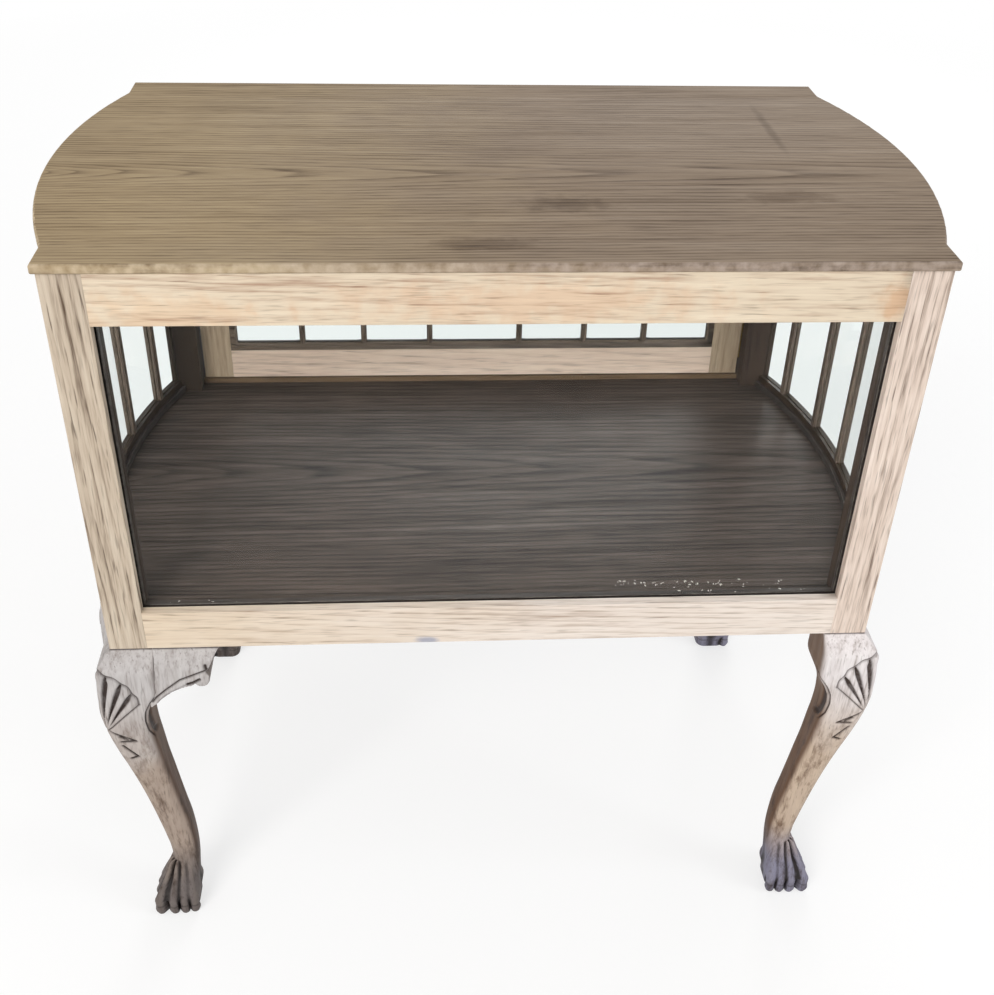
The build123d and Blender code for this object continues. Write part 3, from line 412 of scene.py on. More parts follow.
def worn_copy(node, material, width=0.0011, run=0, step=0.022, wobble=0.00035, inside=None):
    """A copy of a board with its edges rubbed round and a little uneven. It is cut across at every step
    along its run, so that the wear can vary. The middle of each rounded edge carries the worn look, and
    faces that inside() picks carry the dark stain."""
    shape = welded(nodes[node].data)
    bmesh.ops.dissolve_limit(shape, angle_limit=math.radians(0.4), verts=shape.verts, edges=shape.edges)
    if step:
        reaches = [vertex.co[run] for vertex in shape.verts]
        start = min(reaches)
        length = max(reaches) - start
        normal = [float(axis == run) for axis in range(3)]
        cuts = max(1, int(length / step))
        for cut in range(1, cuts):
            point = [part * (start + length * cut / cuts) for part in normal]
            everything = shape.verts[:] + shape.edges[:] + shape.faces[:]
            bmesh.ops.bisect_plane(shape, geom=everything, dist=1e-6, plane_co=point, plane_no=normal)
    corner_turn = math.radians(35)
    sharp = [edge for edge in shape.edges if edge.is_manifold and edge.calc_face_angle(0.0) > corner_turn]
    rounding = {"offset": width, "segments": 2, "profile": 0.5, "affect": "EDGES", "clamp_overlap": True}
    rounded = set(bmesh.ops.bevel(shape, geom=sharp, **rounding)["faces"])
    crests = [
        vertex for vertex in shape.verts
        if vertex.link_faces and all(face in rounded for face in vertex.link_faces)
    ]
    shape.normal_update()
    for vertex in crests:
        dent = 0.5 + 0.5 * noise.noise(vertex.co * 55.0)
        vertex.co -= vertex.normal * wobble * dent
    shape.verts.index_update()
    crest_numbers = {vertex.index for vertex in crests}
    mesh = bpy.data.meshes.new(node + "_worn")
    shape.to_mesh(mesh)
    shape.free()
    float_attribute(mesh, "edge", "POINT", [float(at in crest_numbers) for at in range(len(mesh.vertices))])
    if inside:
        mark_faces(mesh, "inside", lambda face: inside(face.center, face.normal))
    smooth_shaded(mesh, 50)
    stand_for(new_object(node + "_worn", flat_faced(mesh), material), node)


top_oak = oak(
    "top_board_oak", "x", (0.0, -0.048, 0.973), 0.0072, (0.56, 0.42, 0.45, 0.24),
    ((178, 161, 135), (153, 136, 113), (90, 75, 61)), (206, 191, 173), gloss=0.78,
    tongues=(-0.5, 0.062, 0.42), sheen=0.18,
)
tree = top_oak.node_tree
laid_over(top_oak, (
    (ramp_along(tree, "X", 0.15, -0.40, 0.3), (255, 250, 236)),
    (ramp_along(tree, "X", -0.28, 0.06, 0.3), (225, 221, 226)),
    (soft_spot(tree, (0.075, -0.140, 0.973), (0.075, 0.030, 0.1)), (205, 200, 196)),
    (soft_spot(tree, (-0.02, -0.245, 0.973), (0.080, 0.022, 0.1)), (208, 202, 196)),
    (soft_spot(tree, (0.325, -0.120, 0.973), (0.070, 0.024, 0.1)), (214, 208, 202)),
    (soft_spot(tree, (0.357, 0.110, 0.973), (0.009, 0.115, 0.1), 0.35), (214, 210, 206)),
))


def top_board_copy():
    mesh = nodes["top_board"].data.copy()
    shape = welded(mesh)
    shape.to_mesh(mesh)
    shape.free()
    mark_faces(mesh, "edge", lambda face: abs(face.normal.z) < 0.93)
    smooth_shaded(mesh, 30)
    return mesh


stand_for(new_object("top_board_worn", top_board_copy(), top_oak), "top_board")


# Case frame: four square oak posts with straight rails tenoned between them. The front top rail is a pale
# yellow replacement, a little thicker than the rest. Faces that look into the case kept their dark stain.
post_oak = oak(
    "post_oak", "z", (0.3, 0.02, 0.05), 0.0085, (0.34, 0.66, 0.85, 0.24),
    ((242, 231, 219), (217, 202, 188), (114, 95, 81)), (232, 222, 208), gloss=0.7, stain=(76, 66, 59),
)
# Painted light: left posts darker as painted shade, right posts slightly pinker as painted light.
laid_over(post_oak, (
    (ramp_along(post_oak.node_tree, "X", 0.1, -0.1), (224, 220, 211)),
    (ramp_along(post_oak.node_tree, "X", -0.1, 0.1), (255, 250, 250)),
))
new_rail_oak = oak(
    "front_top_rail_oak", "x", (-0.2, -0.33, 0.93), 0.0065, (0.26, 0.62, 0.6, 0.22),
    ((231, 216, 193), (218, 201, 178), (168, 136, 114)), (234, 222, 202), gloss=0.7, stain=(80, 70, 62),
    tongues=(-0.7, 0.05, 0.8),
)
tree = new_rail_oak.node_tree
laid_over(new_rail_oak, (
    (soft_spot(tree, (0.02, -0.289, 0.93), (0.26, 0.1, 0.035), 0.9), (252, 240, 233)),
    (soft_spot(tree, (-0.33, -0.289, 0.91), (0.12, 0.1, 0.04), 0.9), (252, 242, 234)),
    (soft_spot(tree, (0.40, -0.289, 0.93), (0.03, 0.1, 0.03), 0.7), (242, 220, 204)),
))
low_rail_oak = oak(
    "front_bottom_rail_oak", "x", (0.1, -0.33, 0.50), 0.0062, (0.34, 0.46, 0.6, 0.18),
    ((243, 234, 226), (229, 216, 205), (166, 142, 124)), (242, 236, 228), gloss=0.7, stain=(62, 54, 50),
    tongues=(-0.6, 0.06, 0.8),
)
tree = low_rail_oak.node_tree
# Painted shade: the bottom rail is multiplied darker towards its left end.
laid_over(low_rail_oak, (
    (ramp_along(tree, "X", 0.1, -0.4, 0.3), (240, 232, 216)),
    (soft_spot(tree, (-0.080, -0.289, 0.487), (0.02, 0.1, 0.008), 0.4), (192, 204, 232)),
))
rear_rail_oak = oak(
    "rear_rail_oak", "x", (0.2, 0.33, 0.5), 0.010, (0.25, 0.35, 0.5, 0.2),
    ((220, 202, 178), (192, 172, 148), (130, 108, 90)), (224, 212, 192), stain=(150, 134, 118),
)


stain_line = -0.2762


def looks_in_front(place, facing):
    """The front frame was stripped as far back as this line, and is dark behind it."""
    return place.y > stain_line


def looks_in_rear(place, facing):
    return facing.y < -0.5 or facing.z > 0.5


worn_copy("front_top_rail", new_rail_oak, inside=looks_in_front)
worn_copy("front_bottom_rail", low_rail_oak, inside=looks_in_front)
for rail in ("rear_top_rail", "rear_bottom_rail"):
    worn_copy(rail, rear_rail_oak, inside=looks_in_rear)
for post in ("front_left_post", "front_right_post", "rear_left_post", "rear_right_post"):
    front = post.startswith("front")

    def looks_in(place, facing, front=front):
        if front and place.y < stain_line:
            return False
        towards = -place.x * facing.x - place.y * facing.y
        return towards > 0.25 * (abs(place.x) + abs(place.y)) and abs(facing.z) < 0.5

    worn_copy(post, post_oak, run=2, inside=looks_in)


# Bowed ends: a curved rail above and below, five upright glazing bars between them, and a bead along the
# floor. The rails are oak, stripped outside. The bars and beads kept their dark finish, now rubbed.
end_oak = oak(
    "end_rail_oak", "y", (0.05, 0.42, 0.6), 0.010, (0.26, 0.4, 0.55, 0.2),
    ((214, 196, 168), (184, 162, 134), (124, 102, 82)), (220, 206, 184), stain=(74, 64, 58),
)
dark_oak = oak(
    "dark_glazing_oak", "z", (0.1, 0.02, 0.03), 0.006, (0.3, 0.6, 0.5, 0.3),
    ((124, 108, 94), (86, 72, 62), (42, 34, 30)), (166, 148, 130), gloss=0.5,
)
# Its pale rubbed edges are partly real wear and partly a painted highlight.
dark_bead_oak = oak(
    "dark_bead_oak", "x", (0.1, 0.02, 0.5), 0.006, (0.25, 0.5, 0.4, 0.3),
    ((84, 76, 72), (54, 47, 44), (28, 24, 23)), (138, 130, 122), gloss=0.42,
)
door_bead_oak = oak(
    "door_moulding_oak", "x", (0.1, 0.02, 0.5), 0.006, (0.3, 0.6, 0.4, 0.35),
    ((138, 121, 104), (104, 89, 76), (54, 44, 38)), (176, 158, 140), gloss=0.5,
)
post_face = 0.453
bow_rise = 0.047
bow_radius = 0.65686
bow_centre = post_face + bow_rise - bow_radius
for side_name, side in (("left", -1), ("right", 1)):

    def looks_in_end(place, facing, side=side):
        outwards = Vector((side * (abs(place.x) - bow_centre), place.y, 0.0)).normalized()
        ledge = facing.z > 0.5 or (facing.z < -0.5 and place.z > 0.6)
        return ledge or facing.dot(outwards) < -0.3

    for rail in ("end_top_rail", "end_bottom_rail"):
        worn_copy(side_name + "_" + rail, end_oak, run=1, inside=looks_in_end)
    worn_copy(side_name + "_end_bars", dark_oak, 0.0008, run=2, step=0.03)
    worn_copy(side_name + "_floor_bead", dark_bead_oak, 0.0006, run=1, step=0)


# Interior floor: wide oak boards joined into one panel, still dark and polished as the whole cabinet was.
# It lies on two pine battens that are screwed up into it. Pine blocks hold the top board the same way.
floor_oak = oak(
    "interior_floor_oak", "x", (0.0, 0.018, 0.528), 0.0085, (0.5, 0.55, 0.5, 0.25),
    ((98, 86, 79), (66, 57, 52), (32, 27, 25)), (92, 80, 72), gloss=0.5, relief=0.25,
    tongues=(-0.55, 0.075, 0.5), sheen=0.14,
)
pine = oak(
    "plain_pine", "x", (0.1, 0.02, 0.3), 0.008, (0.3, 0.2, 0.1, 0.12),
    ((226, 200, 158), (208, 176, 128), (170, 128, 84)), (228, 208, 172), gloss=0.7,
)
worn_copy("floor_board", floor_oak, 0.0005, step=0)
worn_copy("floor_battens", pine, 0.0008, step=0)
worn_copy("top_blocks", pine, 0.0008, step=0)


# Cabriole legs. Each is carved from one oak block: a square head under the post, a bowed knee with a shell
# whose flutes spread from a point on the outward corner, a husk below it, a C-scroll at each inner edge, a
# slim ankle and a paw of seven toes. Old finish stays dark in the cuts.
post_middle = Vector((0.43125, 0.26575))
leg_top = 0.484

# Height, lean out to the corner and half width, in millimetres, and how round the leg is, from 0 to 1.
leg_stations = np.array((
    (484, -3.2, 25.0, 0.06), (474, 1.2, 29.4, 0.08), (462, 5.2, 33.5, 0.12), (444, 6.4, 34.5, 0.18),
    (424, 7.7, 35.3, 0.26), (408, 12.0, 32.0, 0.36), (396, 14.2, 30.2, 0.42), (378, 14.4, 28.8, 0.46),
    (352, 12.6, 27.4, 0.50), (322, 9.0, 26.0, 0.54), (290, 4.8, 24.0, 0.58), (256, 0.1, 22.6, 0.62),
    (222, -4.2, 21.5, 0.66), (188, -8.3, 20.8, 0.70), (156, -12.0, 20.5, 0.74), (126, -14.6, 19.6, 0.80),
    (98, -16.2, 18.4, 0.84), (78, -15.8, 18.2, 0.86), (60, -11.8, 20.8, 0.76), (42, -6.4, 25.2, 0.60),
    (26, -4.2, 28.4, 0.48), (17, -4.6, 25.4, 0.56), (0, -4.6, 24.4, 0.60),
))[::-1]

# Each toe's root at the ankle and its tip, from the post's middle. The last three have a mirrored twin.
toe_places = ((-3, -3, 22, 22), (-7, -1.5, 3, 22.5), (-13, -3, -11.5, 22), (-22, -6, -24.5, 20))

# Along every toe: the share of the way back from its tip to its root, the height and the radius.
toe_parts = (
    (0, 7.6, 7.4), (0, 15, 6.3), (0.02, 23, 7.3), (0.22, 41, 4.2), (0.45, 54, 3.3), (0.62, 66, 2.6),
    (0.8, 78, 1.6),
)

# The height where the flutes meet, half the angle of the fan, its lobes, its length at the middle and what
# it loses towards the sides. Husk and scroll are drawn by their distance round from the corner and height.
knee_apex = 368.0
shell_spread = math.radians(46.5)
shell_lobes = 7
shell_reach = (95.0, 27.0)
husk_cuts = (
    ((3, 369), (13, 361), (30, 349), (12, 348)), ((20, 352), (13, 358)), ((11, 340), (22, 317), (12, 313)),
)
c_scroll = ((77, 425), (70, 420), (64, 412), (58, 399), (55, 382), (55, 364), (59, 350), (65, 343))
cut_depth = {"flute": 3.3, "rim": 1.9, "husk": 3.0, "scroll": 2.2, "hollow": 3.2, "joint": 1.8}
joint_low = 482.5


def eased(value, low, high):
    share = np.clip((value - low) / (high - low), 0.0, 1.0)
    return share * share * (3.0 - 2.0 * share)


def along_leg(height, column):
    """A smooth curve through one column of the stations."""
    known, values = leg_stations[:, 0], leg_stations[:, column]
    slopes = np.gradient(values, known)
    at = np.clip(np.searchsorted(known, height) - 1, 0, len(known) - 2)
    span = known[at + 1] - known[at]
    t = (height - known[at]) / span
    start = (1 + 2 * t) * (1 - t) ** 2 * values[at] + t * (1 - t) ** 2 * span * slopes[at]
    return start + t * t * (3 - 2 * t) * values[at + 1] + t * t * (t - 1) * span * slopes[at + 1]


def path_gap(u, v, path):
    """Distance to a broken line, signed by the side on which each point lies."""
    best = np.full(u.shape, 1e6)
    side = np.ones(u.shape)
    for (u0, v0), (u1, v1) in zip(path, path[1:]):
        du, dv = u1 - u0, v1 - v0
        t = np.clip(((u - u0) * du + (v - v0) * dv) / (du * du + dv * dv), 0.0, 1.0)
        gap = np.hypot(u - u0 - t * du, v - v0 - t * dv)
        nearer = gap < best
        side = np.where(nearer, np.sign((v - v0) * du - (u - u0) * dv), side)
        best = np.where(nearer, gap, best)
    return best, side


def leg_depth(x, y, z):
    """How far a point lies outside the leg, toes included, with the toes run softly together."""
    half = along_leg(z, 2)
    round_by = half * along_leg(z, 3)
    dx = np.abs(x - along_leg(z, 1)) - half + round_by
    dy = np.abs(y - along_leg(z, 1)) - half + round_by
    shaft = np.hypot(np.maximum(dx, 0), np.maximum(dy, 0)) + np.minimum(np.maximum(dx, dy), 0) - round_by
    toes = np.full(x.shape, 1e3)
    for root_x, root_y, tip_x, tip_y in toe_places + tuple((b, a, d, c) for a, b, c, d in toe_places[1:]):
        for (back0, z0, wide0), (back1, z1, wide1) in zip(toe_parts, toe_parts[1:]):
            start = np.array((tip_x + (root_x - tip_x) * back0, tip_y + (root_y - tip_y) * back0, z0))
            run = np.array((tip_x + (root_x - tip_x) * back1, tip_y + (root_y - tip_y) * back1, z1)) - start
            from_start = (x - start[0], y - start[1], z - start[2])
            t = np.clip(sum(part * step for part, step in zip(from_start, run)) / (run @ run), 0, 1)
            gap = np.sqrt(sum((part - t * step) ** 2 for part, step in zip(from_start, run)))
            toes = np.minimum(toes, gap - (wide0 + (wide1 - wide0) * t))
    blend = 2.6
    share = np.clip(0.5 + 0.5 * (toes - shaft) / blend, 0, 1)
    return toes + (shaft - toes) * share - blend * share * (1 - share)


def groove(gap, depth, width):
    """A rounded groove, at a distance from its middle line."""
    return depth * np.exp(-(gap / width) ** 2)


def knee_carving(s, z):
    """Depth of the cuts at a distance s round from the outward corner, at a height z."""
    # The shell is a fan of lobes with a scalloped rim, and a flute is sunk between each lobe and the next.
    out = np.hypot(s, z - knee_apex)
    turn = np.arctan2(s, z - knee_apex)
    lobe = 2 * shell_spread / shell_lobes
    within = np.mod(turn / lobe + 0.5, 1.0) - 0.5
    scallop = 0.9 * np.cos(2 * math.pi * within)
    edge = shell_reach[0] - shell_reach[1] * (np.abs(turn) / shell_spread) + scallop
    in_fan = (np.abs(turn) < shell_spread) & (out < edge)
    flute_at = (np.round(turn / lobe + 0.5) - 0.5) * lobe
    flute_at = np.clip(flute_at, -lobe * 2.5, lobe * 2.5)
    beside = np.abs(turn - flute_at) * out
    closing = 1.0 - 0.55 * eased(out, edge - 14.0, edge - 2.0)
    width = 3.9 * eased(out, 6.0, 74.0) * closing + 0.35
    flute = cut_depth["flute"] * np.clip(1.0 - (beside / width) ** 1.7, 0, 1) * eased(out, 5.0, 26.0)
    flute *= 1.0 - eased(out, edge - 3.4, edge - 1.6)
    swell = 0.9 * (2 * within) ** 2 + 1.1 * (1.0 - eased(edge - out, 0.0, 4.5))
    cut = np.where(in_fan, np.maximum(flute, swell * eased(out, 6.0, 20.0)), 0.0)

    # A line goes round the shell.
    nowhere = 99.0
    near_top = (np.abs(turn) < shell_spread + 0.02) & (out > 20)
    rim = np.where(near_top, np.abs(out - edge), nowhere)
    at_side = (out < edge) & (out > 4.0)
    side_gap = np.where(at_side, np.abs(np.abs(turn) - shell_spread) * out, nowhere)
    cut = np.maximum(cut, groove(np.minimum(rim, side_gap), cut_depth["rim"], 1.0))

    # The husk hangs below it, and the scroll stands proud of the hollow behind it.
    flat = np.abs(s)
    for path in husk_cuts:
        gap, _ = path_gap(flat, z, path)
        cut = np.maximum(cut, groove(gap, cut_depth["husk"], 1.7))
    gap, side = path_gap(flat, z, c_scroll)
    reach = eased(z, 342.0, 352.0) * (1.0 - eased(z, 432.0, 438.0))
    cut = np.maximum(cut, groove(gap - 3.1, cut_depth["scroll"], 1.1) * reach)
    hollow = cut_depth["hollow"] * eased(gap, 2.4, 3.6) * (1.0 - eased(gap, 8.0, 15.0)) * (side > 0) * reach
    return np.maximum(cut, hollow * eased(flat, 46.0, 52.0))


def leg_rows():
    """Heights of the rows of points, close on the foot and the carved knee and wide on the plain shaft."""
    foot = np.arange(0.6, 112.0, 1.0)
    shaft = np.arange(113.0, 306.0, 5.0)
    knee = np.arange(307.0, joint_low - 0.5, 0.86)
    return np.concatenate((foot, shaft, knee, [joint_low - 0.3, joint_low, joint_low + 0.4, 484.0]))


def leg_grid():
    """The leg of the rear right corner as a grid of points round and up, in millimetres from its post, with
    how deep in a cut, how far round towards the cabinet and how much on a ridge each point is."""
    corner_turn = 45.0
    carved_turn = 125.0
    outward = np.linspace(-carved_turn, carved_turn, 204, endpoint=False)
    inward = np.linspace(carved_turn, 360.0 - carved_turn, 40, endpoint=False)
    turns = np.concatenate((np.radians(corner_turn + outward), np.radians(corner_turn + inward)))
    rows = leg_rows()
    turn, z = np.meshgrid(turns, rows)

    # Each point starts well outside the leg and moves in until it meets the surface.
    outside = 74.0
    close_enough = 0.02
    sole_round = 3.0
    level_z = np.maximum(z, sole_round)
    centre = along_leg(level_z, 1)
    reach = np.full(z.shape, outside)
    found = np.zeros(z.shape, bool)
    for _ in range(150):
        gap = leg_depth(centre + reach * np.cos(turn), centre + reach * np.sin(turn), level_z)
        found |= gap < close_enough
        reach = np.where(found, reach, reach - np.maximum(gap * 0.7, close_enough))
        if found.all():
            break
    reach -= 1.6 * np.clip((sole_round - z) / sole_round, 0, 1) ** 2

    # s is the distance round the leg from its outward corner, the shorter way.
    x = centre + reach * np.cos(turn)
    y = centre + reach * np.sin(turn)
    steps = np.hypot(np.diff(x, axis=1), np.diff(y, axis=1))
    s = np.concatenate((np.zeros((len(rows), 1)), np.cumsum(steps, axis=1)), axis=1)
    middle = int(np.argmin(np.abs(turns - math.radians(corner_turn))))
    s = s - s[:, middle:middle + 1]
    whole = s[:, -1:] - s[:, :1] + np.hypot(x[:, -1] - x[:, 0], y[:, -1] - y[:, 0])[:, None]
    s = np.where(s > whole / 2, s - whole, s)
    cut = np.where(z > 308.0, knee_carving(s, z), 0.0) * (1.0 - eased(z, 478.0, 482.0))
    cut = np.maximum(cut, cut_depth["joint"] * eased(z, joint_low - 0.1, joint_low + 0.3))

    # The toes are dark where they fall short of their mean reach, and rubbed pale where they stand out.
    mean_reach = np.stack([np.roll(reach, shift, axis=1) for shift in range(-14, 15, 2)]).mean(axis=0)
    toe_hollow = np.clip((mean_reach - reach - 0.3) / 1.5, 0, 1) * (z < 100.0)
    on_toes = eased(z, 9.0, 16.0) * (1.0 - eased(z, 62.0, 80.0))
    ridge = np.clip((reach - mean_reach - 0.35) / 1.2, 0, 1) * on_toes
    reach = reach - cut
    knuckle_line = groove(z - 15.0 - 0.8 * np.cos(7.0 * turn), 0.55, 1.5)
    recess = np.clip(np.maximum(cut / 2.1, np.maximum(toe_hollow, knuckle_line)), 0, 1)
    # Inner sides, towards the cabinet, get the old dark stain, which there is partly painted shade.
    bearing = np.abs(np.mod(turn - math.radians(corner_turn) + math.pi, 2 * math.pi) - math.pi)
    old_stain_and_shade = eased(bearing, math.radians(84.0), math.radians(104.0)) * eased(z, 40.0, 110.0)
    points = np.stack((centre + reach * np.cos(turn), centre + reach * np.sin(turn), z), axis=-1)
    points[0, :, 2] = 0.0
    return points, {"recess": recess, "inside": old_stain_and_shade, "edge": ridge}


leg_points, leg_marks = leg_grid()


def leg_mesh(name, side_x, side_y):
    high, around_leg = leg_points.shape[:2]
    places = leg_points.reshape(-1, 3) / 1000.0
    places = places + np.array((post_middle.x, post_middle.y, 0.0))
    ends = np.array([places[:around_leg].mean(axis=0), places[-around_leg:].mean(axis=0)])
    places = np.concatenate((places, ends)) * (side_x, side_y, 1)
    row, column = np.meshgrid(np.arange(high - 1), np.arange(around_leg), indexing="ij")
    after = (column + 1) % around_leg
    a, b = row * around_leg + column, row * around_leg + after
    quads = np.stack((a, b, b + around_leg, a + around_leg), axis=-1).reshape(-1, 4).tolist()
    loop = list(range(around_leg))
    top = (high - 1) * around_leg
    foot_end = high * around_leg
    quads += [(at, foot_end, (at + 1) % around_leg) for at in loop]
    quads += [(top + at, top + (at + 1) % around_leg, foot_end + 1) for at in loop]
    if side_x * side_y < 0:
        quads = [tuple(reversed(face)) for face in quads]
    mesh = bpy.data.meshes.new(name)
    mesh.from_pydata(places.tolist(), [], quads)
    for mark, values in leg_marks.items():
        float_attribute(mesh, mark, "POINT", np.append(values.ravel(), (0.0, 0.0)))
    smooth_shaded(mesh, 60)
    return mesh


def leg_oak_material():
    """Oak bleached grey white at the knee, browner down the leg and grey again at the foot. The left legs
    are darker as painted shade, the right feet bluer as painted light, and the inner sides' stain is partly
    painted shade.
    """
    material = oak(
        "leg_oak", "z", (0.2, 0.03, 0.05), 0.007, (0.14, 0.62, 0.7, 0.42),
        ((240, 235, 234), (226, 219, 219), (168, 156, 150)), (240, 232, 224),
        grime=(56, 41, 35), stain=(128, 102, 80), gloss=0.7,
    )
    tree = material.node_tree
    low = ramp_along(tree, "Z", 0.43, 0.28, 0.12)
    high = calc(tree, "SUBTRACT", 1.0, low)
    foot = ramp_along(tree, "Z", 0.12, 0.05, 0.03)
    left = ramp_along(tree, "X", 0.1, -0.1)
    right = calc(tree, "SUBTRACT", 1.0, left)
    drawn = vector_calc(tree, "MULTIPLY", object_place(tree), (70.0, 70.0, 16.0))[0]
    patches = stretched(tree, cloud(tree, drawn, 1.0, 5.0, 0.7), 0.50, 0.68)
    spread = calc(tree, "MULTIPLY_ADD", low, 0.75, 0.22)
    laid_over(material, (
        (calc(tree, "MULTIPLY", patches, spread), (150, 132, 118)),
        # Painted light: darker tints on the left legs are painted shade, the blue on the right feet painted
        # light.
        (calc(tree, "MULTIPLY", high, left), (208, 209, 208)),
        (calc(tree, "MULTIPLY", low, left), (182, 168, 154)),
        (calc(tree, "MULTIPLY", low, right), (218, 200, 178)),
        (calc(tree, "MULTIPLY", foot, left), (168, 173, 184)),
        (calc(tree, "MULTIPLY", foot, right), (172, 190, 242)),
    ))
    return material


leg_oak = leg_oak_material()
corners = {"front_left": (-1, -1), "front_right": (1, -1), "rear_left": (-1, 1), "rear_right": (1, 1)}
for corner, (side_x, side_y) in corners.items():
    node = corner + "_leg"
    carved = new_object(node + "_carved", leg_mesh(node + "_carved", side_x, side_y), leg_oak)
    stand_for(carved, node)


# Wing brackets: small shaped oak pieces glued beside each knee, flush with it. A bead follows the lower
# edge and ends in a scroll with a dark eye. The front right leg has lost its front one.
# Their lines are drawn by the distance out from the leg and the distance down from its top, in millimetres.
wing_start = {"straight": 0.4027, "side": 0.2372}
wing_line = ((-6, 68), (-1.6, 62), (12, 50), (28.5, 37.5), (44, 31.5), (58.5, 26))
wing_edge_line = ((0, 69), (10, 58.6), (22, 51.5), (35, 44.4))
wing_eye = ((37, 43.7), (44, 41.6), (51.5, 37.6))
wing_notch = ((59.5, 20), (61, 25.5), (65, 28))
wing_cuts = (
    (wing_line, 1.9, 1.2), (wing_edge_line, 0.8, 1.0), (wing_eye, 3.2, 1.5), (wing_notch, 2.4, 2.0),
)
wing_joint = 1.7


def vertex_vectors(mesh, name):
    values = np.zeros(len(mesh.vertices) * 3)
    mesh.vertices.foreach_get(name, values)
    return values.reshape(-1, 3)


def wing_carving(node, kind):
    rough = linked("rough_wing", nodes[node].data.copy())
    remesh = rough.modifiers.new("voxels", "REMESH")
    remesh.mode = "VOXEL"
    remesh.voxel_size = 0.00115
    mesh = applied(rough)
    count = len(mesh.vertices)
    places = vertex_vectors(mesh, "co")
    facing = vertex_vectors(mesh, "normal")
    if kind == "straight":
        u = (wing_start[kind] - np.abs(places[:, 0])) * 1000
        outwards = np.stack((np.zeros(count), np.sign(places[:, 1]), np.zeros(count)), axis=1)
    else:
        u = (wing_start[kind] - np.abs(places[:, 1])) * 1000
        from_centre = np.sign(places[:, 0]) * (np.abs(places[:, 0]) - bow_centre)
        outwards = np.stack((from_centre, places[:, 1], np.zeros(count)), axis=1)
        outwards /= np.linalg.norm(outwards, axis=1)[:, None]
    v = (leg_top - places[:, 2]) * 1000
    faces_out = (facing * outwards).sum(axis=1)
    cut = np.zeros(count)
    for path, depth, width in wing_cuts:
        gap, _ = path_gap(u, v, path)
        cut = np.maximum(cut, groove(gap, depth, width))
    ragged = np.array([noise.noise(Vector(place) * 140.0) for place in places])
    cut = np.maximum(cut, wing_joint * (1.0 - eased(v, 1.0, 2.0 + 0.6 * ragged)))
    cut *= eased(faces_out, 0.25, 0.6)
    places -= outwards * (cut / 1000)[:, None]
    mesh.vertices.foreach_set("co", places.ravel())
    float_attribute(mesh, "recess", "POINT", np.clip(cut / wing_joint, 0, 1))
    # Faces turned away from the outside get the dark stain, partly old stain and partly painted shade.
    stained = 0.9 * eased(-faces_out, -0.35, 0.2) * eased(u, -2, 4)
    float_attribute(mesh, "inside", "POINT", stained)
    mesh.polygons.foreach_set("use_smooth", [True] * len(mesh.polygons))
    return mesh


for node in sorted(nodes):
    if node.endswith("_wing"):
        kind = "side" if node.endswith("side_wing") else "straight"
        carved = new_object(node + "_carved", wing_carving(node, kind), leg_oak)
        stand_for(carved, node)


# Glass: clear sheet in the front and the flat strips of the ends, and bevelled panes in the door. The glass
# is old and very slightly green. It casts no shadow, so daylight reaches the floor of the case.
def glass(name, colour, dustiest, bend):
    material, tree, shader = new_material(name)
    place = object_place(tree)
    film = stretched(tree, cloud(tree, place, 28.0, 5.0), 0.45, 0.9, dustiest)
    waves = bumped(tree, 0.08, 0.001, cloud(tree, place, 7.0, 1.0))
    feed(tree, shader, {"Base Color": tint(*colour), "Transmission Weight": 1.0, "IOR": bend})
    feed(tree, shader, {"Roughness": film, "Normal": waves})
    return material


sheet_glass = glass("sheet_glass", (250, 253, 252), 0.03, 1.14)
bevelled_glass = glass("bevelled_glass", (247, 251, 250), 0.02, 1.4)
panes = {"front_pane": sheet_glass, "left_end_panes": sheet_glass, "right_end_panes": sheet_glass,
         "door_panes": bevelled_glass}
for node, pane_glass in panes.items():
    for slot in nodes[node].material_slots:
        slot.material = pane_glass
    nodes[node].visible_shadow = False


# Front pane beads: four dark strips pinned inside the front frame. Crumbs of old white filler and paint lie
# along the bottom one, most of them towards the right.
def random_number(group, limits):
    node = group.nodes.new("FunctionNodeRandomValue")
    node.data_type = "FLOAT"
    feed(group, {socket.name: socket for socket in node.inputs if socket.enabled}, limits)
    return next(socket for socket in node.outputs if socket.enabled)


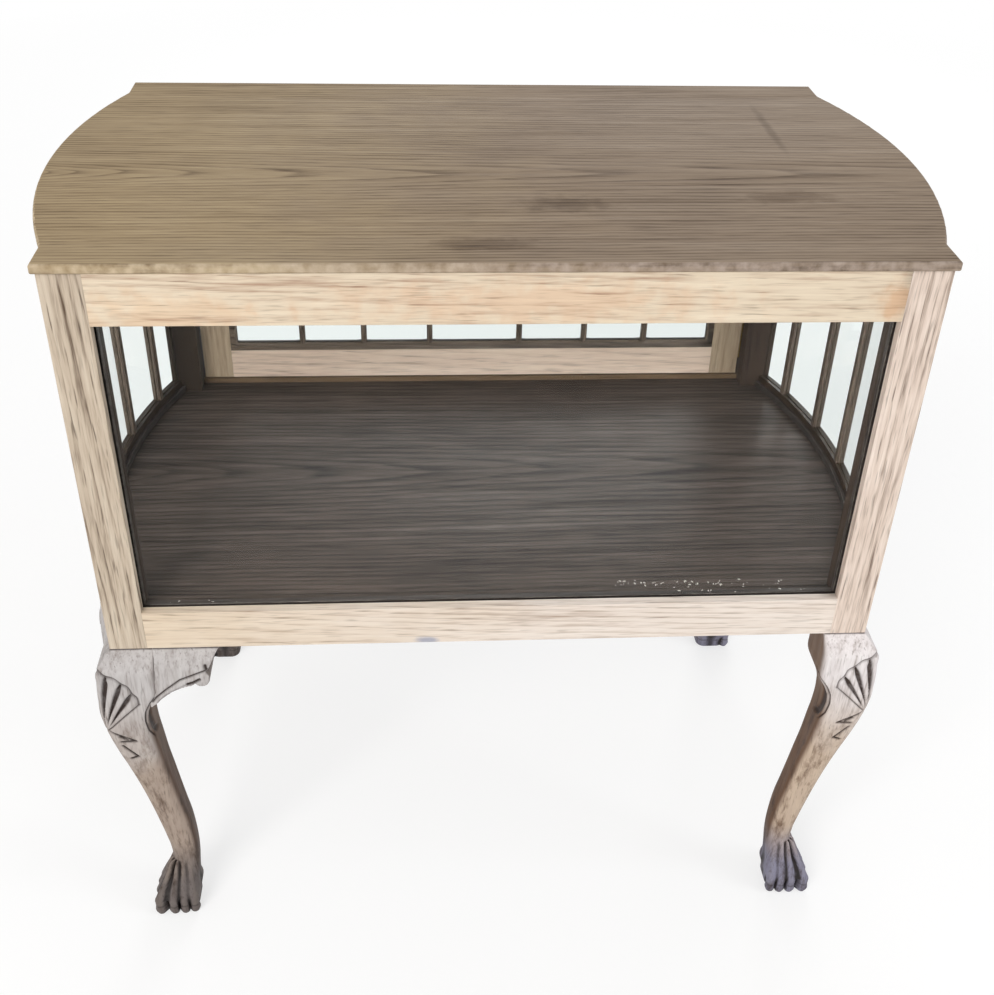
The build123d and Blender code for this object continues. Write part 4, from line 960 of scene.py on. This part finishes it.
def set_out_tree():
    """A geometry tree that sets one copy of a shape on each point, turned to face outwards."""
    group = bpy.data.node_groups.new("set_out", "GeometryNodeTree")
    sockets = {"Points": "Geometry", "Shape": "Object", "Finish": "Material", "Least Size": "Float",
               "Most Size": "Float", "Seed": "Int"}
    for label, kind in sockets.items():
        group.interface.new_socket(label, in_out="INPUT", socket_type="NodeSocket" + kind)
    group.interface.new_socket("Pieces", in_out="OUTPUT", socket_type="NodeSocketGeometry")
    given = group.nodes.new("NodeGroupInput").outputs
    shape = put(group, "GeometryNodeObjectInfo", {"Object": given["Shape"]}).outputs["Geometry"]
    facing = put(group, "GeometryNodeInputNamedAttribute", {"Name": "facing"}, data_type="FLOAT_VECTOR")
    facing = facing.outputs[0]
    turned = put(group, "FunctionNodeAlignRotationToVector", {"Vector": facing}, axis="Z").outputs[0]
    angle = random_number(group, {"Min": 0.0, "Max": 2.0 * math.pi, "Seed": given["Seed"]})
    upright = {"Axis": (0.0, 0.0, 1.0), "Angle": angle}
    spin = put(group, "FunctionNodeAxisAngleToRotation", upright).outputs[0]
    turned = put(group, "FunctionNodeRotateRotation", {0: turned, 1: spin}, rotation_space="LOCAL")
    limits = {"Min": given["Least Size"], "Max": given["Most Size"], "Seed": given["Seed"]}
    copies = {"Points": given["Points"], "Instance": shape, "Rotation": turned.outputs[0]}
    copies["Scale"] = random_number(group, limits)
    copies = put(group, "GeometryNodeInstanceOnPoints", copies).outputs[0]
    solid = put(group, "GeometryNodeRealizeInstances", {"Geometry": copies}).outputs[0]
    finished = {"Geometry": solid, "Material": given["Finish"]}
    finished = put(group, "GeometryNodeSetMaterial", finished).outputs[0]
    group.links.new(finished, group.nodes.new("NodeGroupOutput").inputs["Pieces"])
    return group


set_out = set_out_tree()


def laid_out(name, places, facing, shape_mesh, material, sizes=(1.0, 1.0), seed=1):
    """One mesh with a copy of the shape at each place."""
    points = bpy.data.meshes.new(name + "_points")
    points.from_pydata(places, [], [])
    layer = points.attributes.new("facing", "FLOAT_VECTOR", "POINT")
    layer.data.foreach_set("vector", np.tile(facing, len(places)))
    holder = linked(name + "_points", points)
    shape = linked(name + "_shape", shape_mesh)
    layout = holder.modifiers.new("layout", "NODES")
    layout.node_group = set_out
    values = {"Shape": shape, "Finish": material, "Seed": seed}
    values.update(zip(("Least Size", "Most Size"), sizes))
    for socket in set_out.interface.items_tree:
        if socket.name in values:
            layout[socket.identifier] = values[socket.name]
    mesh = applied(holder)
    bpy.data.objects.remove(shape)
    mesh.name = name
    return mesh


worn_copy("front_pane_beads", dark_bead_oak, 0.0007, step=0.03)

# Most crumbs lie loose on the floor board along the bead, and a few on the bead itself.
lift = 0.0003
below_sides = 0.6
board_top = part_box("floor_board")[1][2]
bead_corners = nodes["front_pane_beads"].data.vertices
bead_top = max(corner.co.z for corner in bead_corners if corner.co.z < below_sides)
crumb_random = random.Random(11)
crumb_places = []
for count in range(54):
    share = crumb_random.random()
    drift = crumb_random.gauss(0.0, 0.0036)
    crumb_places.append((0.140 + 0.215 * share, -0.235 - 0.009 * share + drift, board_top + lift))
for first, length, many in ((0.215, 0.175, 9), (-0.385, 0.09, 6)):
    for count in range(many):
        along = first + length * crumb_random.random()
        crumb_places.append((along, -0.268 + crumb_random.uniform(-0.0025, 0.0025), bead_top + lift))
crumb = bmesh.new()
bmesh.ops.create_icosphere(crumb, subdivisions=1, radius=0.001)
for corner in crumb.verts:
    uneven = 1.0 + 0.5 * noise.noise(corner.co * 1400.0)
    corner.co = Vector((corner.co.x * 1.9 * uneven, corner.co.y * 0.8 * uneven, corner.co.z * 0.5))
crumb_mesh = bpy.data.meshes.new("crumb")
crumb.to_mesh(crumb_mesh)
crumb.free()
filler = oak(
    "old_filler", "x", (0.1, 0.02, 0.5), 0.006, (0.1, 0.2, 0.1, 0.4),
    ((226, 222, 214), (206, 200, 191), (168, 161, 152)), (232, 228, 220), gloss=0.8, relief=0.1,
)
crumbs_mesh = laid_out("filler_crumbs", crumb_places, (0.0, 0.0, 1.0), crumb_mesh, filler, (0.3, 1.15), 5)
crumbs = new_object("filler_crumbs", crumbs_mesh, filler)
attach(crumbs, nodes["floor_board"]["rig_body"])


# Door: an oak frame stripped pale outside and in, with a dark moulding round the opening, six upright bars
# with cover strips behind, and beads that hold the glass.
door_oak = oak(
    "door_oak", "x", (0.2, 0.40, 0.45), 0.011, (0.24, 0.42, 0.55, 0.2),
    ((242, 222, 204), (222, 197, 178), (152, 126, 108)), (238, 224, 208), gloss=0.7,
)
door_upright_oak = oak(
    "door_stile_oak", "z", (0.2, 0.40, 0.4), 0.011, (0.24, 0.46, 0.55, 0.2),
    ((204, 184, 158), (174, 152, 128), (118, 96, 78)), (214, 198, 176), gloss=0.6,
)
for node in ("door_top_rail", "door_bottom_rail"):
    worn_copy(node, door_oak)
for node in ("door_hinge_stile", "door_lock_stile"):
    worn_copy(node, door_upright_oak, run=2)
worn_copy("door_moulding", door_bead_oak, 0.0006, step=0)
worn_copy("door_bars", dark_oak, 0.0005, run=2, step=0)
worn_copy("door_bar_strips", dark_oak, 0.0005, run=2, step=0)
worn_copy("door_glass_beads", dark_bead_oak, 0.0005, step=0)
worn_copy("door_stop", pine, 0.0007, step=0)


# Fittings: brass butt hinges, a small lock with its bolt, key, plate and strike, and the screws. The brass
# has gone brown in patches. The steel screws are dull.
def metal(name, bright, dull, rough):
    material, tree, shader = new_material(name)
    place = object_place(tree)
    tarnish = stretched(tree, cloud(tree, place, 260.0, 5.0, 0.65), 0.35, 0.68)
    colour = mixed(tree, tarnish, tint(*bright), tint(*dull))
    rough = calc(tree, "MULTIPLY_ADD", tarnish, 0.3, rough)
    scratches = bumped(tree, 0.15, 0.0002, grain_noise(tree, place, (1500.0, 1500.0, 160.0), 2.0))
    feed(tree, shader, {"Base Color": colour, "Metallic": 1.0, "Roughness": rough, "Normal": scratches})
    return material


brass = metal("old_brass", (204, 168, 98), (112, 84, 48), 0.3)
steel = metal("screw_steel", (150, 146, 140), (88, 80, 72), 0.38)
for node in ("hinge_post_leaves", "hinge_door_leaves", "hinge_pins", "lock_case", "lock_bolt", "key",
             "escutcheon", "escutcheon_pins", "strike_plate"):
    worn_copy(node, brass, 0.00018, step=0, wobble=0.0)
worn_copy("leg_dowels", pine, 0.0006, step=0)


def screw_ends(node, facing):
    """The middle of each screw's head face, found on the node's separate solids."""
    shape = welded(nodes[node].data)
    waiting = set(shape.verts)
    ends = []
    while waiting:
        loose = [waiting.pop()]
        found = []
        while loose:
            corner = loose.pop()
            found.append(corner.co.copy())
            for edge in corner.link_edges:
                other = edge.other_vert(corner)
                if other in waiting:
                    waiting.remove(other)
                    loose.append(other)
        low, high = ([pick(place[axis] for place in found) for axis in range(3)] for pick in (min, max))
        end = (Vector(low) + Vector(high)) / 2
        for axis, part in enumerate(facing):
            if part:
                end[axis] = high[axis] if part > 0 else low[axis]
        ends.append(list(end))
    shape.free()
    return sorted(ends)


def turned_mesh(name, outline, around):
    """A closed mesh turned round Z from radii and heights in millimetres, closed at the origin."""
    places = [(0.0, 0.0, 0.0)]
    faces = []
    for radius, height in outline:
        for step in range(around):
            turn = 2.0 * math.pi * step / around
            places.append((radius * math.cos(turn) / 1000, radius * math.sin(turn) / 1000, height / 1000))
    tip = len(places)
    places.append((0.0, 0.0, outline[-1][1] / 1000))
    for step in range(around):
        after = (step + 1) % around
        faces.append((0, 1 + step, 1 + after))
        faces.append((tip, tip - around + after, tip - around + step))
        for ring in range(len(outline) - 1):
            low = 1 + ring * around
            faces.append((low + step, low + around + step, low + around + after, low + after))
    mesh = bpy.data.meshes.new(name)
    mesh.from_pydata(places, [], faces)
    return mesh


def screw_mesh(name, head_radius, head_depth, shank_radius, length, slot_width, slot_depth):
    """A slotted countersunk wood screw, in millimetres, with its head face at the origin, facing up."""
    plain_end = -length * 0.4
    thread_low = -length + 2.0
    root_radius = shank_radius * 0.72
    half_crest = 0.3
    turns = 7
    head_rim = 0.15
    outline = [(head_radius, 0.0), (head_radius, -head_rim)]
    outline += [(shank_radius, -head_depth), (shank_radius, plain_end)]
    for turn in range(turns):
        at = plain_end + (thread_low - plain_end) * (turn + 0.5) / turns
        outline += [(root_radius, at + half_crest), (shank_radius, at), (root_radius, at - half_crest)]
    outline.append((head_rim, -length))
    blank = linked(name + "_blank", turned_mesh(name, outline, 28))
    saw_mesh = bpy.data.meshes.new(name + "_saw")
    saw = bmesh.new()
    bmesh.ops.create_cube(saw, size=1.0)
    cut_size = Vector((head_radius * 3.0, slot_width, slot_depth * 2.0)) / 1000
    for corner in saw.verts:
        corner.co *= cut_size
    saw.to_mesh(saw_mesh)
    saw.free()
    saw_object = linked(name + "_saw", saw_mesh)
    sawn = blank.modifiers.new("slot", "BOOLEAN")
    sawn.object = saw_object
    sawn.solver = "EXACT"
    made = applied(blank)
    bpy.data.objects.remove(saw_object)
    made.set_sharp_from_angle(angle=math.radians(40))
    return made


# Head radius, head depth, shank radius, length, slot width and slot depth.
hinge_screw = screw_mesh("hinge_screw", 2.6, 1.2, 1.3, 13.9, 0.7, 0.7)
floor_screw = screw_mesh("floor_screw", 1.8, 0.2, 1.78, 20.9, 0.6, 0.7)
top_screw = screw_mesh("top_screw", 1.8, 0.2, 1.78, 23.9, 0.6, 0.7)
screw_sets = (
    ("hinge_post_screws", (-1.0, 0.0, 0.0), hinge_screw),
    ("hinge_door_screws", (1.0, 0.0, 0.0), hinge_screw),
    ("floor_screws", (0.0, 0.0, -1.0), floor_screw),
    ("top_screws", (0.0, 0.0, -1.0), top_screw),
)
for node, facing, shape in screw_sets:
    mesh = laid_out(node + "_slotted", screw_ends(node, facing), facing, shape, steel, seed=3)
    stand_for(new_object(node + "_slotted", mesh, steel), node)
